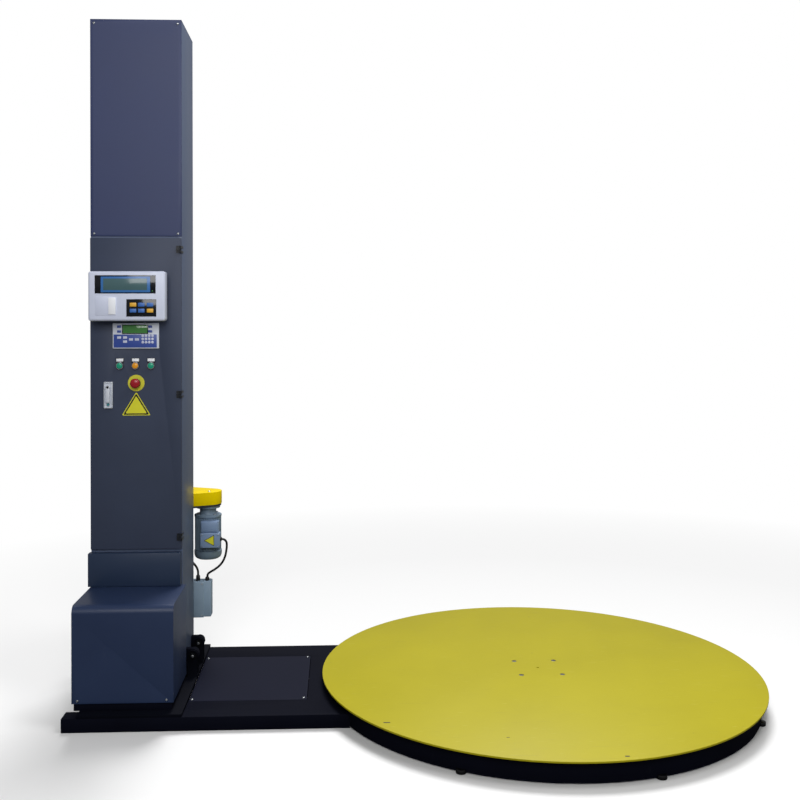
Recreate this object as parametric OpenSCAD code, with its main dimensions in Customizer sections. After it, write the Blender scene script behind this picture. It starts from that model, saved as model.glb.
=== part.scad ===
// Turntable pallet wrapper: a low motor-driven turntable, a bridge with the drive chain
// under it, and a mast that folds down for transport and carries the film carriage.
// Millimetres. The origin is on the floor under the turntable's axis. +X runs from the
// mast to the turntable, +Y to the carriage side, +Z up.

/* [Turntable] */
// Diameter of the turntable plate
table_d = 1650; // [1300:10:2000]
// Height of the turntable's top face above the floor
table_top = 80; // [78:1:120]
// Thickness of the turntable's steel plate
plate_t = 6; // [4:1:10]
// How far the fixed skirt stands inside the plate's edge
skirt_inset = 25; // [10:1:60]
// Side of the square of hub bolts
bolt_square = 155; // [120:1:180]
// How far the circle of support rollers lies inside the plate's edge
roller_in = 125; // [85:5:250]
// Radius of a support roller
roller_r = 20; // [14:0.5:24]
// Radius of the fixed king pin
king_pin_r = 25; // [15:1:35]

/* [Chain drive] */
// Pitch of the turntable's drive chain
chain_pitch = 15.875; // [12.7:3.175:19.05]
// Teeth on the turntable's sprocket
table_teeth = 60; // [40:1:70]
// Teeth on the gearmotor's sprocket
drive_teeth = 15; // [11:1:20]
// Radius of the gearmotor's output shaft
drive_shaft_r = 12; // [8:1:16]

/* [Base] */
// Free length of the bridge between the turntable's edge and the foot plate
bridge_len = 477; // [300:1:700]
// How far the base reaches to the front of the turntable's axis
front_reach = 343; // [320:1:420]
// How far the base reaches to the rear of the turntable's axis
rear_reach = 408; // [340:1:480]
// Width of a base rail
rail_w = 65; // [40:1:90]
// Height of a base rail and of the bridge deck
rail_h = 48; // [44:1:60]
// Thickness of the foot plate under the mast
foot_plate_t = 10; // [6:1:16]
// Length of the foot plate
foot_plate_len = 358; // [340:1:420]

/* [Foot housing] */
// Width of the housing over the turntable gearmotor
housing_w = 350; // [300:1:420]
// Depth of the housing
housing_d = 284; // [250:1:340]
// Height of the housing's top above the floor
housing_top = 421; // [400:1:480]
// Height of the black plinth under the housing
plinth_h = 26; // [16:1:40]
// Radius of the bend along the housing's upper front edge
housing_bend = 28; // [6:1:50]

/* [Mast] */
// Width of the mast
mast_w = 340; // [320:1:420]
// Depth of the mast's column
mast_d = 277; // [260:1:340]
// Height of the mast's top above the floor
mast_top = 2545; // [2100:5:3100]
// Height of the mast's lower end above the floor
mast_foot = 110; // [96:1:130]
// Thickness of the mast's sheet steel
mast_sheet = 3; // [2:0.5:5]
// Width of the slot that the carriage's arm runs in
slot_w = 120; // [100:1:160]
// Height of the transport hinge's pin above the floor
fold_z = 137; // [125:1:150]
// Radius of the transport hinge's pins
fold_pin_r = 10; // [6:1:12]

/* [Door] */
// Lower edge of the door
door_low = 557; // [550:1:620]
// Upper edge of the door
door_high = 1723; // [1640:1:1900]
// Depth of the folded door pan
door_depth = 11.5; // [8:0.5:12]
// Height of the row of push buttons
button_z = 1244; // [1230:1:1260]
// Distance between push buttons
button_step = 58; // [40:1:70]
// Radius of a push button's cap
button_r = 11; // [8:0.5:12]
// Height of the emergency stop button
estop_z = 1179; // [1170:1:1190]

/* [Carriage] */
// Height of the film web that the carriage's rollers take
film_w = 500; // [400:5:500]
// Underside of the carriage's bottom plate when it is lowered
carriage_low = 142; // [100:1:160]
// Radius of a pre-stretch roller
stretch_r = 45; // [35:0.5:50]
// Radius of the spindle that the film core slides over
spindle_r = 37.5; // [24:0.5:37.5]
// Pitch of the chains in the carriage's guard
small_pitch = 9.525; // [8:0.525:9.525]
// Pitch of the lift chain
lift_pitch = 12.7; // [9.525:3.175:12.7]
// Teeth on the lift sprockets
lift_teeth = 21; // [17:1:23]

/* [Hidden] */
$fn = 64;

// Clearances
gap = 0.3;          // between pieces that pass each other
running = 0.05;     // radial, between a shaft and its bore
screw_gap = 0.1;    // radial, around a screw
chain_gap = 1;      // between a sprocket's tooth tips and its chain

// Turntable, from the floor up
table_r = table_d / 2;
roller_circle = table_r - roller_in;
skirt_r = table_r - skirt_inset;
skirt_t = 4;
pad_h = 4;
tray_t = 6;
tray_top = pad_h + tray_t;
plate_low = table_top - plate_t;
skirt_top = plate_low - 3;
track_t = 4;
track_low = plate_low - track_t;
roller_axle_z = track_low - gap - roller_r;
roller_w = 26;
axle_r = 6;
rib_h = 12;
n_rollers = 6;
hub_r = 60;
flange_r = bolt_square / sqrt(2) + 15;
flange_t = 8;
hub_low = tray_top + 14;
bolt_shank_r = 5;
bolt_head_r = 9.5;
bolt_head_h = 4.5;
centre_hole_r = 5;

// Chain drive
sprocket_t = 8;
sprocket_z = tray_top + 18;
chain_h = 12;
chain_t = 9;
table_tip_r = tip_radius(table_teeth, chain_pitch);
drive_tip_r = tip_radius(drive_teeth, chain_pitch);

// Base and foot
foot_right = -(table_r + bridge_len);
foot_left = foot_right - foot_plate_len;
rail_left = foot_left - 52;
deck_t = 3;
foot_top = rail_h + foot_plate_t;
inner_front = -front_reach + rail_w;
inner_rear = rear_reach - rail_w;
bearer_w = 52;
groove = 2;
cover_front = inner_front + 77;
cover_rear = inner_rear - 68;
cover_left = foot_right + 2;
cover_right = foot_right + 424;
cover_screw_in = 12;
cover_screws = [for (x = [cover_left + cover_screw_in, cover_right - cover_screw_in])
                for (y = [cover_front + groove + 15, cover_rear - groove - cover_screw_in]) [x, y]];

// Mast
mast_right = foot_right - 48;
mast_left = mast_right - mast_w;
mast_x = (mast_left + mast_right) / 2;
mast_front = -13;
mast_back = mast_front + mast_d;
flange_w = 25;
panel_t = 3;
fold_x = mast_right + 31;
lug_r = 22;
lug_w = 28;
ear_t = 8;
lug_ys = [50, 203];

// Foot housing
housing_right = mast_right + 14;
housing_left = housing_right - housing_w;
housing_back = -20;
housing_front = housing_back - housing_d;
housing_low = foot_top + plinth_h;
housing_sheet = 3;
housing_screw_xs = [housing_left + 20, housing_right - 24];
housing_screw_z = housing_low + 10;
drive_x = mast_x + 10;
drive_y = -100;
motor_flange_r = 70;

// Lower and upper panels
lower_panel_low = housing_top + 1;
lower_panel_high = lower_panel_low + 123;
lower_panel_front = mast_front - 32;
upper_panel_low = door_high + 7;
panel_screws_at = [for (x = [mast_left + 14, mast_right - 14])
                   for (z = [upper_panel_low + 10, mast_top - 15]) [x, z]];

// Lift inside the mast
lift_y = mast_front + 143;
lift_top_z = mast_top - 105;
lift_low_z = mast_foot + 80;
lift_tip_r = tip_radius(lift_teeth, lift_pitch);
lift_chain_t = 7;
lift_chain_w = 8;
trolley_low = 300;
trolley_high = 650;
rail_bar = 20;
guide_in = 35;
guide_y = mast_back - 68;
guide_depth = 30;
trolley_y = guide_y + 4;
trolley_t = 12;
block_t = 8;
block_gap = 0.5;

// Door and what it carries
door_left = mast_left + 1;
door_right = mast_right - 1;
door_back = mast_front - 1.5;
door_front = door_back - door_depth;
door_sheet = 2;
hinge_x = door_right - 4;
hinge_y = door_front - 4;
hinge_pin_r = 2;
knuckle_r = 4;
hinge_h = 27;
hinge_zs = [door_low + 44, (door_low + door_high) / 2 - 4, door_high - 43];
barrel_hole_r = 14;
bezel_r = 14.5;
bezel_h = 8;
button_travel = 4;
estop_travel = 5;
estop_head_r = 18;
legend_r = 31;
text_w = 172;
text_h = 96;
text_low = 1308;
text_body_in = 7;
text_depth = 38;
indicator_w = 281;
indicator_h = 183;
indicator_low = 1411;
indicator_t = 52;
indicator_off = 18;
latch_w = 33;
latch_h = 99;
latch_x = door_left + 67;
latch_low = 1085;
latch_pivot_z = latch_low + 80;
latch_bore_r = 7;

// Carriage
carriage_t = 8;
bottom_top = carriage_low + carriage_t;
upper_low = bottom_top + film_w - 2;
upper_top = upper_low + carriage_t;
guard_h = 52;
guard_sheet = 2;
guard_small_r = 57;
guard_big_r = 120;
back_plate_y = mast_back + 20;
back_plate_t = 8;
motor_x = mast_right + 42;
motor_y = mast_back + 124;
motor_r = 57;
motor_low = upper_low - 222;
guard_x = motor_x - 157;
shaft_r = 10;
motor_shaft_r = 8;
roller_1 = [guard_x + 15, motor_y - 48];
roller_2 = [guard_x - 15, motor_y + 57];
dancer_pivot = [guard_x + 25, motor_y + 152];
dancer_at = [dancer_pivot[0] - 90, dancer_pivot[1] + 20];
dancer_r = 20;
spindle_at = [mast_left + 25, motor_y + 42];
spindle_top = bottom_top + 450;
spindle_flange_r = 60;
motor_teeth = 15;
roller_1_teeth = 30;
roller_1_small_teeth = 20;
roller_2_teeth = 16;
small_sprocket_t = 5;
level_1 = upper_top + 10;
level_2 = upper_top + 28;
small_chain_h = 8;
small_chain_t = 6;
box_left = mast_right - 48;
box_right = mast_right + 64;
box_front = back_plate_y + back_plate_t + 8;
box_d = 62;
box_lid = 12;
box_low = carriage_low + 60;
box_top = box_low + 146;
terminal_w = 80;
terminal_h = 61;
terminal_d = 46;
terminal_right = motor_x + 59;
terminal_low = motor_low + 60;
terminal_y = motor_y - motor_r - 31;
gland_r = 9;

// Cables on the carriage, as routes of points chosen by hand
cable_r = 4.5;
motor_cable_route = [
    [-1242, 316, 520], [-1234, 316, 518.2], [-1227.4, 316.5, 513.2], [-1223.6, 317, 505.9],
    [-1222.5, 318, 496], [-1223, 319, 484], [-1225, 320, 469], [-1228, 321, 454],
    [-1233, 322, 439], [-1240, 323, 425], [-1250, 324, 412], [-1262, 325, 401],
    [-1276, 326, 391], [-1291, 328, 382], [-1301, 329, 373.5], [-1304, 330, 362]];
sensor_cable_route = [
    [-1341, 326, 371], [-1341, 326, 381], [-1342.5, 325, 392], [-1346.5, 322.5, 403],
    [-1352.5, 319, 413.5], [-1359.5, 314.5, 423], [-1366.5, 308.5, 431.5],
    [-1373, 300.5, 437.5], [-1376, 292, 440]];

// Radius of a sprocket's pitch circle and of its tooth tips
function pitch_radius(teeth, pitch) = pitch / (2 * sin(180 / teeth));
function tip_radius(teeth, pitch) = pitch_radius(teeth, pitch) + 0.25 * pitch;

// A box from its low corner to its high corner
module block(low, high) {
    translate(low) cube(high - low);
}

// A cylinder along Y from y_low to y_high
module rod_y(x, z, y_low, y_high, r) {
    translate([x, y_high, z]) rotate([90, 0, 0]) cylinder(h = y_high - y_low, r = r);
}

// A cylinder along X from x_low to x_high
module rod_x(y, z, x_low, x_high, r) {
    translate([x_low, y, z]) rotate([0, 90, 0]) cylinder(h = x_high - x_low, r = r);
}

// A cylinder along Z
module rod_z(at, z_low, z_high, r) {
    translate([at[0], at[1], z_low]) cylinder(h = z_high - z_low, r = r);
}

// Outline of a sprocket: a disc with a round seat for each chain roller
module sprocket_outline(teeth, pitch) {
    seat_r = 0.32 * pitch;
    difference() {
        circle(r = tip_radius(teeth, pitch));
        for (i = [0 : teeth - 1])
            rotate(i * 360 / teeth)
                translate([pitch_radius(teeth, pitch), 0]) circle(r = seat_r, $fn = 16);
    }
}

// Outline round two circles
module belt_outline(at_1, r_1, at_2, r_2) {
    hull() {
        translate(at_1) circle(r = r_1);
        translate(at_2) circle(r = r_2);
    }
}

// A chain round two sprockets, outside their tooth tips
module chain_loop(at_1, r_1, at_2, r_2, t, h) {
    linear_extrude(h) difference() {
        belt_outline(at_1, r_1 + chain_gap + t, at_2, r_2 + chain_gap + t);
        belt_outline(at_1, r_1 + chain_gap, at_2, r_2 + chain_gap);
    }
}

// A round tube swept along a route
module swept_tube(route, r, sides = 10) {
    last = len(route) - 1;
    rings = [for (i = [0 : last])
        let (ahead = route[min(i + 1, last)] - route[max(i - 1, 0)],
             along = ahead / norm(ahead),
             across_raw = cross(along, [0, 1, 0.2]),
             across = across_raw / norm(across_raw),
             up = cross(across, along))
        [for (k = [0 : sides - 1])
            route[i] + r * cos(360 * k / sides) * across + r * sin(360 * k / sides) * up]];
    points = [for (ring = rings) for (p = ring) p];
    sides_faces = [for (i = [0 : last - 1]) for (k = [0 : sides - 1])
        let (n = (k + 1) % sides)
        [i * sides + k, (i + 1) * sides + k, (i + 1) * sides + n, i * sides + n]];
    ends = [[for (k = [0 : sides - 1]) k],
            [for (k = [sides - 1 : -1 : 0]) last * sides + k]];
    polyhedron(points = points, faces = concat(sides_faces, ends), convexity = 6);
}

// ---- Base ----

// Two rails, the bridge's floor and bearers, and the deck, all stopped by the turntable's skirt
module base_frame() {
    skirt_side = foot_right / 2;
    color("#07090F") difference() {
        union() {
            block([rail_left, -front_reach, 0], [skirt_side, inner_front, rail_h]);
            block([rail_left, inner_rear, 0], [skirt_side, rear_reach, rail_h]);
            block([foot_left, inner_front, 8], [foot_left + 50, inner_rear, rail_h]);
            block([foot_right, inner_front, pad_h], [skirt_side, inner_rear, pad_h + 4]);
            block([foot_right, cover_front - bearer_w / 2, pad_h],
                  [skirt_side, cover_front + bearer_w / 2, rail_h - deck_t]);
            block([foot_right, cover_rear - bearer_w / 2, pad_h],
                  [skirt_side, cover_rear + bearer_w / 2, rail_h - deck_t]);
            difference() {
                block([foot_right, inner_front, rail_h - deck_t],
                      [skirt_side, inner_rear, rail_h]);
                block([foot_right - 1, cover_front, rail_h - deck_t - 1],
                      [cover_right + groove, cover_rear, rail_h + 1]);
            }
        }
        translate([0, 0, -1]) cylinder(h = table_top, r = skirt_r, $fn = 180);
        for (at = cover_screws) rod_z(at, rail_h - 30, rail_h + 1, 3 + screw_gap);
    }
}

module foot_plate() {
    color("#0A0C12") difference() {
        union() {
            block([foot_left, -front_reach, rail_h], [foot_right, rear_reach + 6, foot_top]);
            for (y = lug_ys) hinge_ears(y);
        }
        rod_z([drive_x, drive_y], rail_h - 1, foot_top + 1, drive_shaft_r + 6);
    }
}

// A pair of ears that hold one transport hinge pin
module hinge_ears(y) {
    half = lug_w / 2 + 2;
    for (side = [-1, 1]) {
        low = side < 0 ? y - half - ear_t : y + half;
        difference() {
            union() {
                block([fold_x - 20, low, foot_top], [fold_x + 17, low + ear_t, fold_z]);
                rod_y(fold_x, fold_z, low, low + ear_t, 20);
            }
            rod_y(fold_x, fold_z, low - 1, low + ear_t + 1, fold_pin_r);
        }
    }
}

module plinth() {
    wall = 4;
    color("#06080D") {
        difference() {
            block([housing_left + 6, housing_front + 6, foot_top],
                  [housing_right - 6, housing_back, housing_low]);
            block([housing_left + 6 + wall, housing_front + 6 + wall, foot_top - 1],
                  [housing_right - 6 - wall, housing_back - wall, housing_low + 1]);
        }
        difference() {
            block([mast_left + 2, mast_front + 1, foot_top],
                  [mast_right - 2, mast_back - 4, mast_foot - gap]);
            block([mast_left + 2 + wall, mast_front + 1 + wall, foot_top - 1],
                  [mast_right - 2 - wall, mast_back - 4 - wall, mast_foot + 1]);
        }
    }
}

// Side profile of the housing, set in by one wall thickness for the hollow
module housing_profile(inset) {
    r = housing_bend - inset;
    y_0 = housing_front + inset;
    y_1 = housing_back + inset;
    z_1 = housing_top - inset;
    translate([y_0, housing_low - inset]) square([y_1 - y_0, z_1 - r - housing_low + inset]);
    translate([y_0 + r, housing_low]) square([y_1 - y_0 - r, z_1 - housing_low]);
    translate([y_0 + r, z_1 - r]) circle(r = r);
}

module foot_housing() {
    color("#222B3E") difference() {
        translate([housing_left, 0, 0]) rotate([90, 0, 90])
            linear_extrude(housing_w) housing_profile(0);
        translate([housing_left + housing_sheet, 0, 0]) rotate([90, 0, 90])
            linear_extrude(housing_w - 2 * housing_sheet) housing_profile(housing_sheet);
        for (x = housing_screw_xs)
            rod_y(x, housing_screw_z, housing_front - 1, housing_front + 20, 3 + screw_gap);
    }
}

// Screws of the housing and the chain cover, and the two bolts of the transport hinge
module base_fasteners() {
    head_h = 8;
    color("#B8BCC0") {
        for (x = housing_screw_xs) {
            rod_y(x, housing_screw_z, housing_front - 3, housing_front, 5);
            rod_y(x, housing_screw_z, housing_front - 0.01, housing_front + 12, 3);
        }
        for (at = cover_screws) {
            rod_z(at, rail_h, rail_h + 3, 5);
            rod_z(at, rail_h - 20, rail_h + 0.01, 3);
        }
        for (y = lug_ys) {
            half = lug_w / 2 + 2 + ear_t;
            rod_y(fold_x, fold_z, y - half, y + half, fold_pin_r);
            translate([fold_x, y - half, fold_z]) rotate([90, 0, 0])
                cylinder(h = head_h, r = 14, $fn = 6);
            translate([fold_x, y + half + head_h, fold_z]) rotate([90, 0, 0])
                cylinder(h = head_h, r = 14, $fn = 6);
        }
    }
}

module chain_cover() {
    color("#22242F") difference() {
        block([cover_left, cover_front + groove, rail_h - deck_t],
              [cover_right, cover_rear - groove, rail_h]);
        for (at = cover_screws) rod_z(at, 0, rail_h + 1, 3 + screw_gap);
    }
}

// ---- Fixed base of the turntable ----

// Angle of a support roller; the rollers stand clear of the chain's opening
function roller_angle(i) = 30 + 360 * i / n_rollers;

module roller_bracket() {
    half = roller_w / 2 + 4;
    cheek = 5;
    block([roller_circle - half - cheek, -25, tray_top - 1],
          [roller_circle + half + cheek, 25, tray_top + 4]);
    for (x = [roller_circle - half - cheek, roller_circle + half])
        block([x, -15, tray_top], [x + cheek, 15, roller_axle_z + axle_r + 2]);
    rod_x(0, roller_axle_z, roller_circle - half - 1, roller_circle + half + 1, axle_r);
}

module base_tray() {
    color("#0C0E12") {
        translate([0, 0, pad_h]) cylinder(h = tray_t, r = skirt_r, $fn = 180);
        for (i = [0 : n_rollers - 1]) rotate(roller_angle(i)) roller_bracket();
    }
}

// The rolled skirt on the tray, with the chain's opening towards the bridge
module base_skirt() {
    color("#0C0E12") difference() {
        translate([0, 0, tray_top]) cylinder(h = skirt_top - tray_top, r = skirt_r, $fn = 180);
        translate([0, 0, tray_top - 1]) cylinder(h = skirt_top, r = skirt_r - skirt_t, $fn = 180);
        block([-table_r, -190, tray_top + 4], [-skirt_r / 2, 90, rail_h - deck_t]);
    }
}

module foot_pads() {
    pad_r = 17;
    color("#08080A") {
        cylinder(h = pad_h, r = 60);
        for (i = [0, 1, 2, 5, 6, 7]) rotate(16.4 + 45 * i) difference() {
            translate([skirt_r, 0, 0]) cylinder(h = 14, r = pad_r);
            translate([0, 0, pad_h]) cylinder(h = 20, r = skirt_r + gap, $fn = 180);
        }
    }
}

module king_pin() {
    color("#8A8D92") {
        rod_z([0, 0], tray_top, hub_low - 4, hub_r);
        rod_z([0, 0], tray_top, plate_low - 12, king_pin_r);
    }
}

module drive_motor() {
    at = [drive_x, drive_y];
    gearbox_top = foot_top + 100;
    color("#4F5B68") difference() {
        union() {
            rod_z(at, foot_top, foot_top + 8, motor_flange_r);
            block([at[0] - 60, at[1] - 60, foot_top + 8], [at[0] + 60, at[1] + 60, gearbox_top]);
            rod_z(at, gearbox_top, gearbox_top + 10, 66);
            rod_z(at, gearbox_top + 10, gearbox_top + 190, 58);
            block([at[0] + 40, at[1] - 40, gearbox_top + 50],
                  [at[0] + 90, at[1] + 40, gearbox_top + 130]);
        }
        rod_z(at, foot_top - 1, foot_top + 61, drive_shaft_r + running);
    }
}

module drive_chain() {
    color("#3A3630") translate([0, 0, sprocket_z + (sprocket_t - chain_h) / 2])
        chain_loop([drive_x, drive_y], drive_tip_r, [0, 0], table_tip_r, chain_t, chain_h);
}

// ---- Turntable ----

module at_hub_bolts() {
    for (x = [-1, 1], y = [-1, 1])
        translate([x * bolt_square / 2, y * bolt_square / 2, 0]) children();
}

module turntable_plate() {
    color("#BEB544") difference() {
        translate([0, 0, plate_low]) cylinder(h = plate_t, r = table_r, $fn = 180);
        translate([0, 0, plate_low - 1]) cylinder(h = plate_t + 2, r = centre_hole_r);
        at_hub_bolts() {
            translate([0, 0, plate_low - 1]) cylinder(h = plate_t + 2, r = bolt_shank_r + screw_gap);
            translate([0, 0, table_top - bolt_head_h])
                cylinder(h = bolt_head_h + 0.1, r = bolt_head_r + screw_gap);
        }
    }
}

module turntable_hub() {
    color("#5A5D60") difference() {
        union() {
            rod_z([0, 0], plate_low - flange_t, plate_low, flange_r);
            rod_z([0, 0], hub_low, plate_low - flange_t, hub_r);
            translate([0, 0, sprocket_z]) linear_extrude(sprocket_t)
                sprocket_outline(table_teeth, chain_pitch);
        }
        rod_z([0, 0], 0, plate_low - 10, king_pin_r + running);
        translate([0, 0, plate_low - 30]) at_hub_bolts()
            cylinder(h = 40, r = bolt_shank_r + screw_gap);
    }
}

module hub_bolts() {
    color("#8C8F90") at_hub_bolts() {
        translate([0, 0, table_top - bolt_head_h]) cylinder(h = bolt_head_h, r = bolt_head_r);
        translate([0, 0, plate_low - flange_t])
            cylinder(h = flange_t + plate_t - bolt_head_h + 0.1, r = bolt_shank_r);
    }
}

module roller_track() {
    half = roller_w / 2 + 6;
    color("#77797C") {
        difference() {
            translate([0, 0, track_low]) cylinder(h = track_t, r = roller_circle + half, $fn = 180);
            translate([0, 0, track_low - 1])
                cylinder(h = track_t + 2, r = roller_circle - half, $fn = 180);
        }
        for (i = [0 : 7]) rotate(45 * i)
            block([flange_r + 1, -4, plate_low - rib_h], [roller_circle - half + 0.5, 4, plate_low]);
    }
}

module support_roller(i) {
    half = roller_w / 2;
    color("#D8D4C4") rotate(roller_angle(i)) difference() {
        rod_x(0, roller_axle_z, roller_circle - half, roller_circle + half, roller_r);
        rod_x(0, roller_axle_z, roller_circle - half - 1, roller_circle + half + 1,
              axle_r + running);
    }
}

module drive_sprocket() {
    color("#55504A") translate([drive_x, drive_y, 0]) {
        translate([0, 0, sprocket_z]) linear_extrude(sprocket_t)
            sprocket_outline(drive_teeth, chain_pitch);
        translate([0, 0, sprocket_z - 4]) cylinder(h = foot_top + 60 - sprocket_z, r = drive_shaft_r);
    }
}

// ---- Mast ----

// The folded column, slotted behind, with a strap across the door opening at each end
module mast_column() {
    t = mast_sheet;
    strip = (mast_w - slot_w) / 2;
    color("#4A5168") difference() {
        union() {
            translate([0, 0, mast_foot + t]) linear_extrude(mast_top - mast_foot - 2 * t) {
                for (x = [mast_left, mast_right - t])
                    translate([x, mast_front]) square([t, mast_d]);
                for (x = [mast_left, mast_right - flange_w])
                    translate([x, mast_front]) square([flange_w, t]);
                for (x = [mast_left, mast_right - strip])
                    translate([x, mast_back - t]) square([strip, t]);
            }
            for (z = [door_low - 20, door_high - 15])
                block([mast_left + 1, mast_front, z], [mast_right - 1, mast_front + t, z + 40]);
        }
        for (at = panel_screws_at)
            rod_y(at[0], at[1], mast_front - 1, mast_front + 10, 2.5 + screw_gap);
    }
}

module upper_panel() {
    color("#484E68") difference() {
        block([mast_left, mast_front - panel_t, upper_panel_low],
              [mast_right, mast_front, mast_top]);
        for (at = panel_screws_at)
            rod_y(at[0], at[1], mast_front - 5, mast_front + 1, 2.5 + screw_gap);
    }
}

module lower_panel() {
    t = 2;
    color("#222D3E") difference() {
        block([mast_left - 5, lower_panel_front, lower_panel_low],
              [mast_right - 3, mast_front, lower_panel_high]);
        block([mast_left - 5 + t, lower_panel_front + t, lower_panel_low + t],
              [mast_right - 3 - t, mast_front + 1, lower_panel_high - t]);
    }
}

module panel_screws() {
    face = mast_front - panel_t;
    color("#E4E5E2") for (at = panel_screws_at) {
        rod_y(at[0], at[1], face - 2.5, face, 4.5);
        rod_y(at[0], at[1], face - 0.01, mast_front + 8, 2.5);
    }
}

module mast_ends() {
    t = mast_sheet;
    color("#3C4252") {
        block([mast_left, mast_front, mast_top - t], [mast_right, mast_back, mast_top]);
        difference() {
            union() {
                block([mast_left, mast_front, mast_foot], [mast_right, mast_back, mast_foot + t]);
                for (y = lug_ys) {
                    block([mast_right, y - lug_w / 2, fold_z - lug_r],
                          [fold_x, y + lug_w / 2, fold_z + lug_r]);
                    block([mast_right - 4, y - lug_w / 2, mast_foot],
                          [mast_right + 2, y + lug_w / 2, mast_foot + t]);
                    block([mast_right, y - lug_w / 2, mast_foot],
                          [mast_right + 6, y + lug_w / 2, fold_z]);
                    rod_y(fold_x, fold_z, y - lug_w / 2, y + lug_w / 2, lug_r);
                }
                for (x = [mast_x - 25, mast_x + 15])
                    block([x, lift_y - 15, mast_foot + 1], [x + 10, lift_y + 15, lift_low_z + 18]);
                rod_x(lift_y, lift_low_z, mast_x - 20, mast_x + 20, 8);
            }
            for (y = lug_ys)
                rod_y(fold_x, fold_z, y - lug_w, y + lug_w, fold_pin_r + running);
        }
    }
}

module guide_rails() {
    color("#9A9CA0") for (x = [mast_left + guide_in, mast_right - guide_in - rail_bar])
        block([x, guide_y, mast_foot + mast_sheet],
              [x + rail_bar, guide_y + guide_depth, mast_top - mast_sheet]);
}

// Mounting plate with frequency inverters, breakers and terminals
module control_gear() {
    plate_y = mast_front + 77;
    color("#C8CACC") {
        block([mast_left + 30, plate_y, door_low + 60], [mast_right - 30, plate_y + 3, door_high - 70]);
        for (i = [0 : 2])
            block([mast_left + 45 + 88 * i, plate_y - 58, door_low + 130],
                  [mast_left + 45 + 88 * i + 74, plate_y + 1, door_low + 290]);
        block([mast_left + 50, plate_y - 50, door_low + 380],
              [mast_right - 60, plate_y + 1, door_low + 460]);
        block([mast_left + 50, plate_y - 45, door_high - 180],
              [mast_right - 60, plate_y + 1, door_high - 100]);
        for (x = [mast_left + 50, mast_right - 70])
            block([x, plate_y + 2, door_low + 80], [x + 20, guide_y, door_low + 110]);
    }
}

// Hinge pins and the fixed half of each door hinge
module hinge_knuckles() {
    third = hinge_h / 3;
    color("#14181F") for (z = hinge_zs) {
        rod_z([hinge_x, hinge_y], z - hinge_h / 2, z + hinge_h / 2, hinge_pin_r);
        for (low = [z - hinge_h / 2, z + hinge_h / 2 - third + gap]) {
            rod_z([hinge_x, hinge_y], low, low + third - gap, knuckle_r);
            block([hinge_x, hinge_y - 1.5, low], [mast_right + 1.5, hinge_y + 1.5, low + third - gap]);
            block([mast_right, hinge_y - 1.5, low], [mast_right + 1.5, mast_front + 22, low + third - gap]);
        }
    }
}

module lift_motor() {
    color("#4F5B68") difference() {
        union() {
            rod_x(lift_y, lift_top_z, mast_left + 12, mast_x - 60, 48);
            block([mast_x - 62, lift_y - 45, lift_top_z - 45], [mast_x - 12, lift_y + 45, lift_top_z + 45]);
            block([mast_x - 62, lift_y - 45, lift_top_z + 44], [mast_x - 12, lift_y + 45, mast_top - 3]);
        }
        rod_x(lift_y, lift_top_z, mast_x - 50, mast_x - 11, shaft_r + running);
    }
}

module lift_chain() {
    color("#3A3630") translate([mast_x - lift_chain_w / 2, 0, 0]) rotate([90, 0, 90])
        chain_loop([lift_y, lift_low_z], lift_tip_r, [lift_y, lift_top_z], lift_tip_r,
                   lift_chain_t, lift_chain_w);
}

module lift_sprocket(z) {
    translate([mast_x - 3, lift_y, z]) rotate([90, 0, 90])
        linear_extrude(6) sprocket_outline(lift_teeth, lift_pitch);
}

module lift_sprocket_top() {
    color("#6A6C6E") {
        lift_sprocket(lift_top_z);
        rod_x(lift_y, lift_top_z, mast_x - 48, mast_x + 6, shaft_r);
    }
}

module lift_sprocket_bottom() {
    color("#6A6C6E") difference() {
        lift_sprocket(lift_low_z);
        rod_x(lift_y, lift_low_z, mast_x - 10, mast_x + 10, 8 + running);
    }
}

// ---- Door ----

function button_x(i) = mast_x - 1.5 + (i - 1) * button_step;

module door_panel() {
    t = door_sheet;
    text_x = mast_x + 1;
    color("#363D4E") difference() {
        block([door_left, door_front, door_low], [door_right, door_back, door_high]);
        block([door_left + t, door_front + t, door_low + t],
              [door_right - t, door_back + 1, door_high - t]);
        for (i = [0 : 2])
            rod_y(button_x(i), button_z, door_front - 1, door_back, barrel_hole_r);
        rod_y(mast_x + 1, estop_z, door_front - 1, door_back, barrel_hole_r);
        block([text_x - text_w / 2 + text_body_in - gap, door_front - 1, text_low + text_body_in - gap],
              [text_x + text_w / 2 - text_body_in + gap, door_back,
               text_low + text_h - text_body_in + gap]);
        rod_y(latch_x, latch_pivot_z, door_front - 1, door_back, latch_bore_r + 3);
    }
}

module door_hinges() {
    third = hinge_h / 3;
    color("#14181F") for (z = hinge_zs) difference() {
        union() {
            rod_z([hinge_x, hinge_y], z - third / 2, z + third / 2, knuckle_r);
            block([hinge_x - 14, hinge_y - 1.5, z - third / 2], [hinge_x, door_front, z + third / 2]);
            block([hinge_x - 14, door_front - 2.2, z - hinge_h / 2],
                  [hinge_x - 5, door_front, z + hinge_h / 2]);
        }
        rod_z([hinge_x, hinge_y], z - hinge_h, z + hinge_h, hinge_pin_r + running);
    }
}

module indicator() {
    x = mast_x - 19.5;
    back = door_front - indicator_off;
    mid_z = indicator_low + indicator_h / 2;
    color("#B2B9CD") {
        block([x - indicator_w / 2, back - indicator_t, indicator_low],
              [x + indicator_w / 2, back, indicator_low + indicator_h]);
        block([x - 70, back, mid_z - 55], [x + 70, door_front, mid_z + 55]);
    }
}

module text_panel() {
    x = mast_x + 1;
    in = text_body_in;
    color("#C9CBD2") {
        block([x - text_w / 2, door_front - 7, text_low], [x + text_w / 2, door_front, text_low + text_h]);
        block([x - text_w / 2 + in, door_front - 1, text_low + in],
              [x + text_w / 2 - in, door_front + text_depth, text_low + text_h - in]);
    }
}

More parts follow.
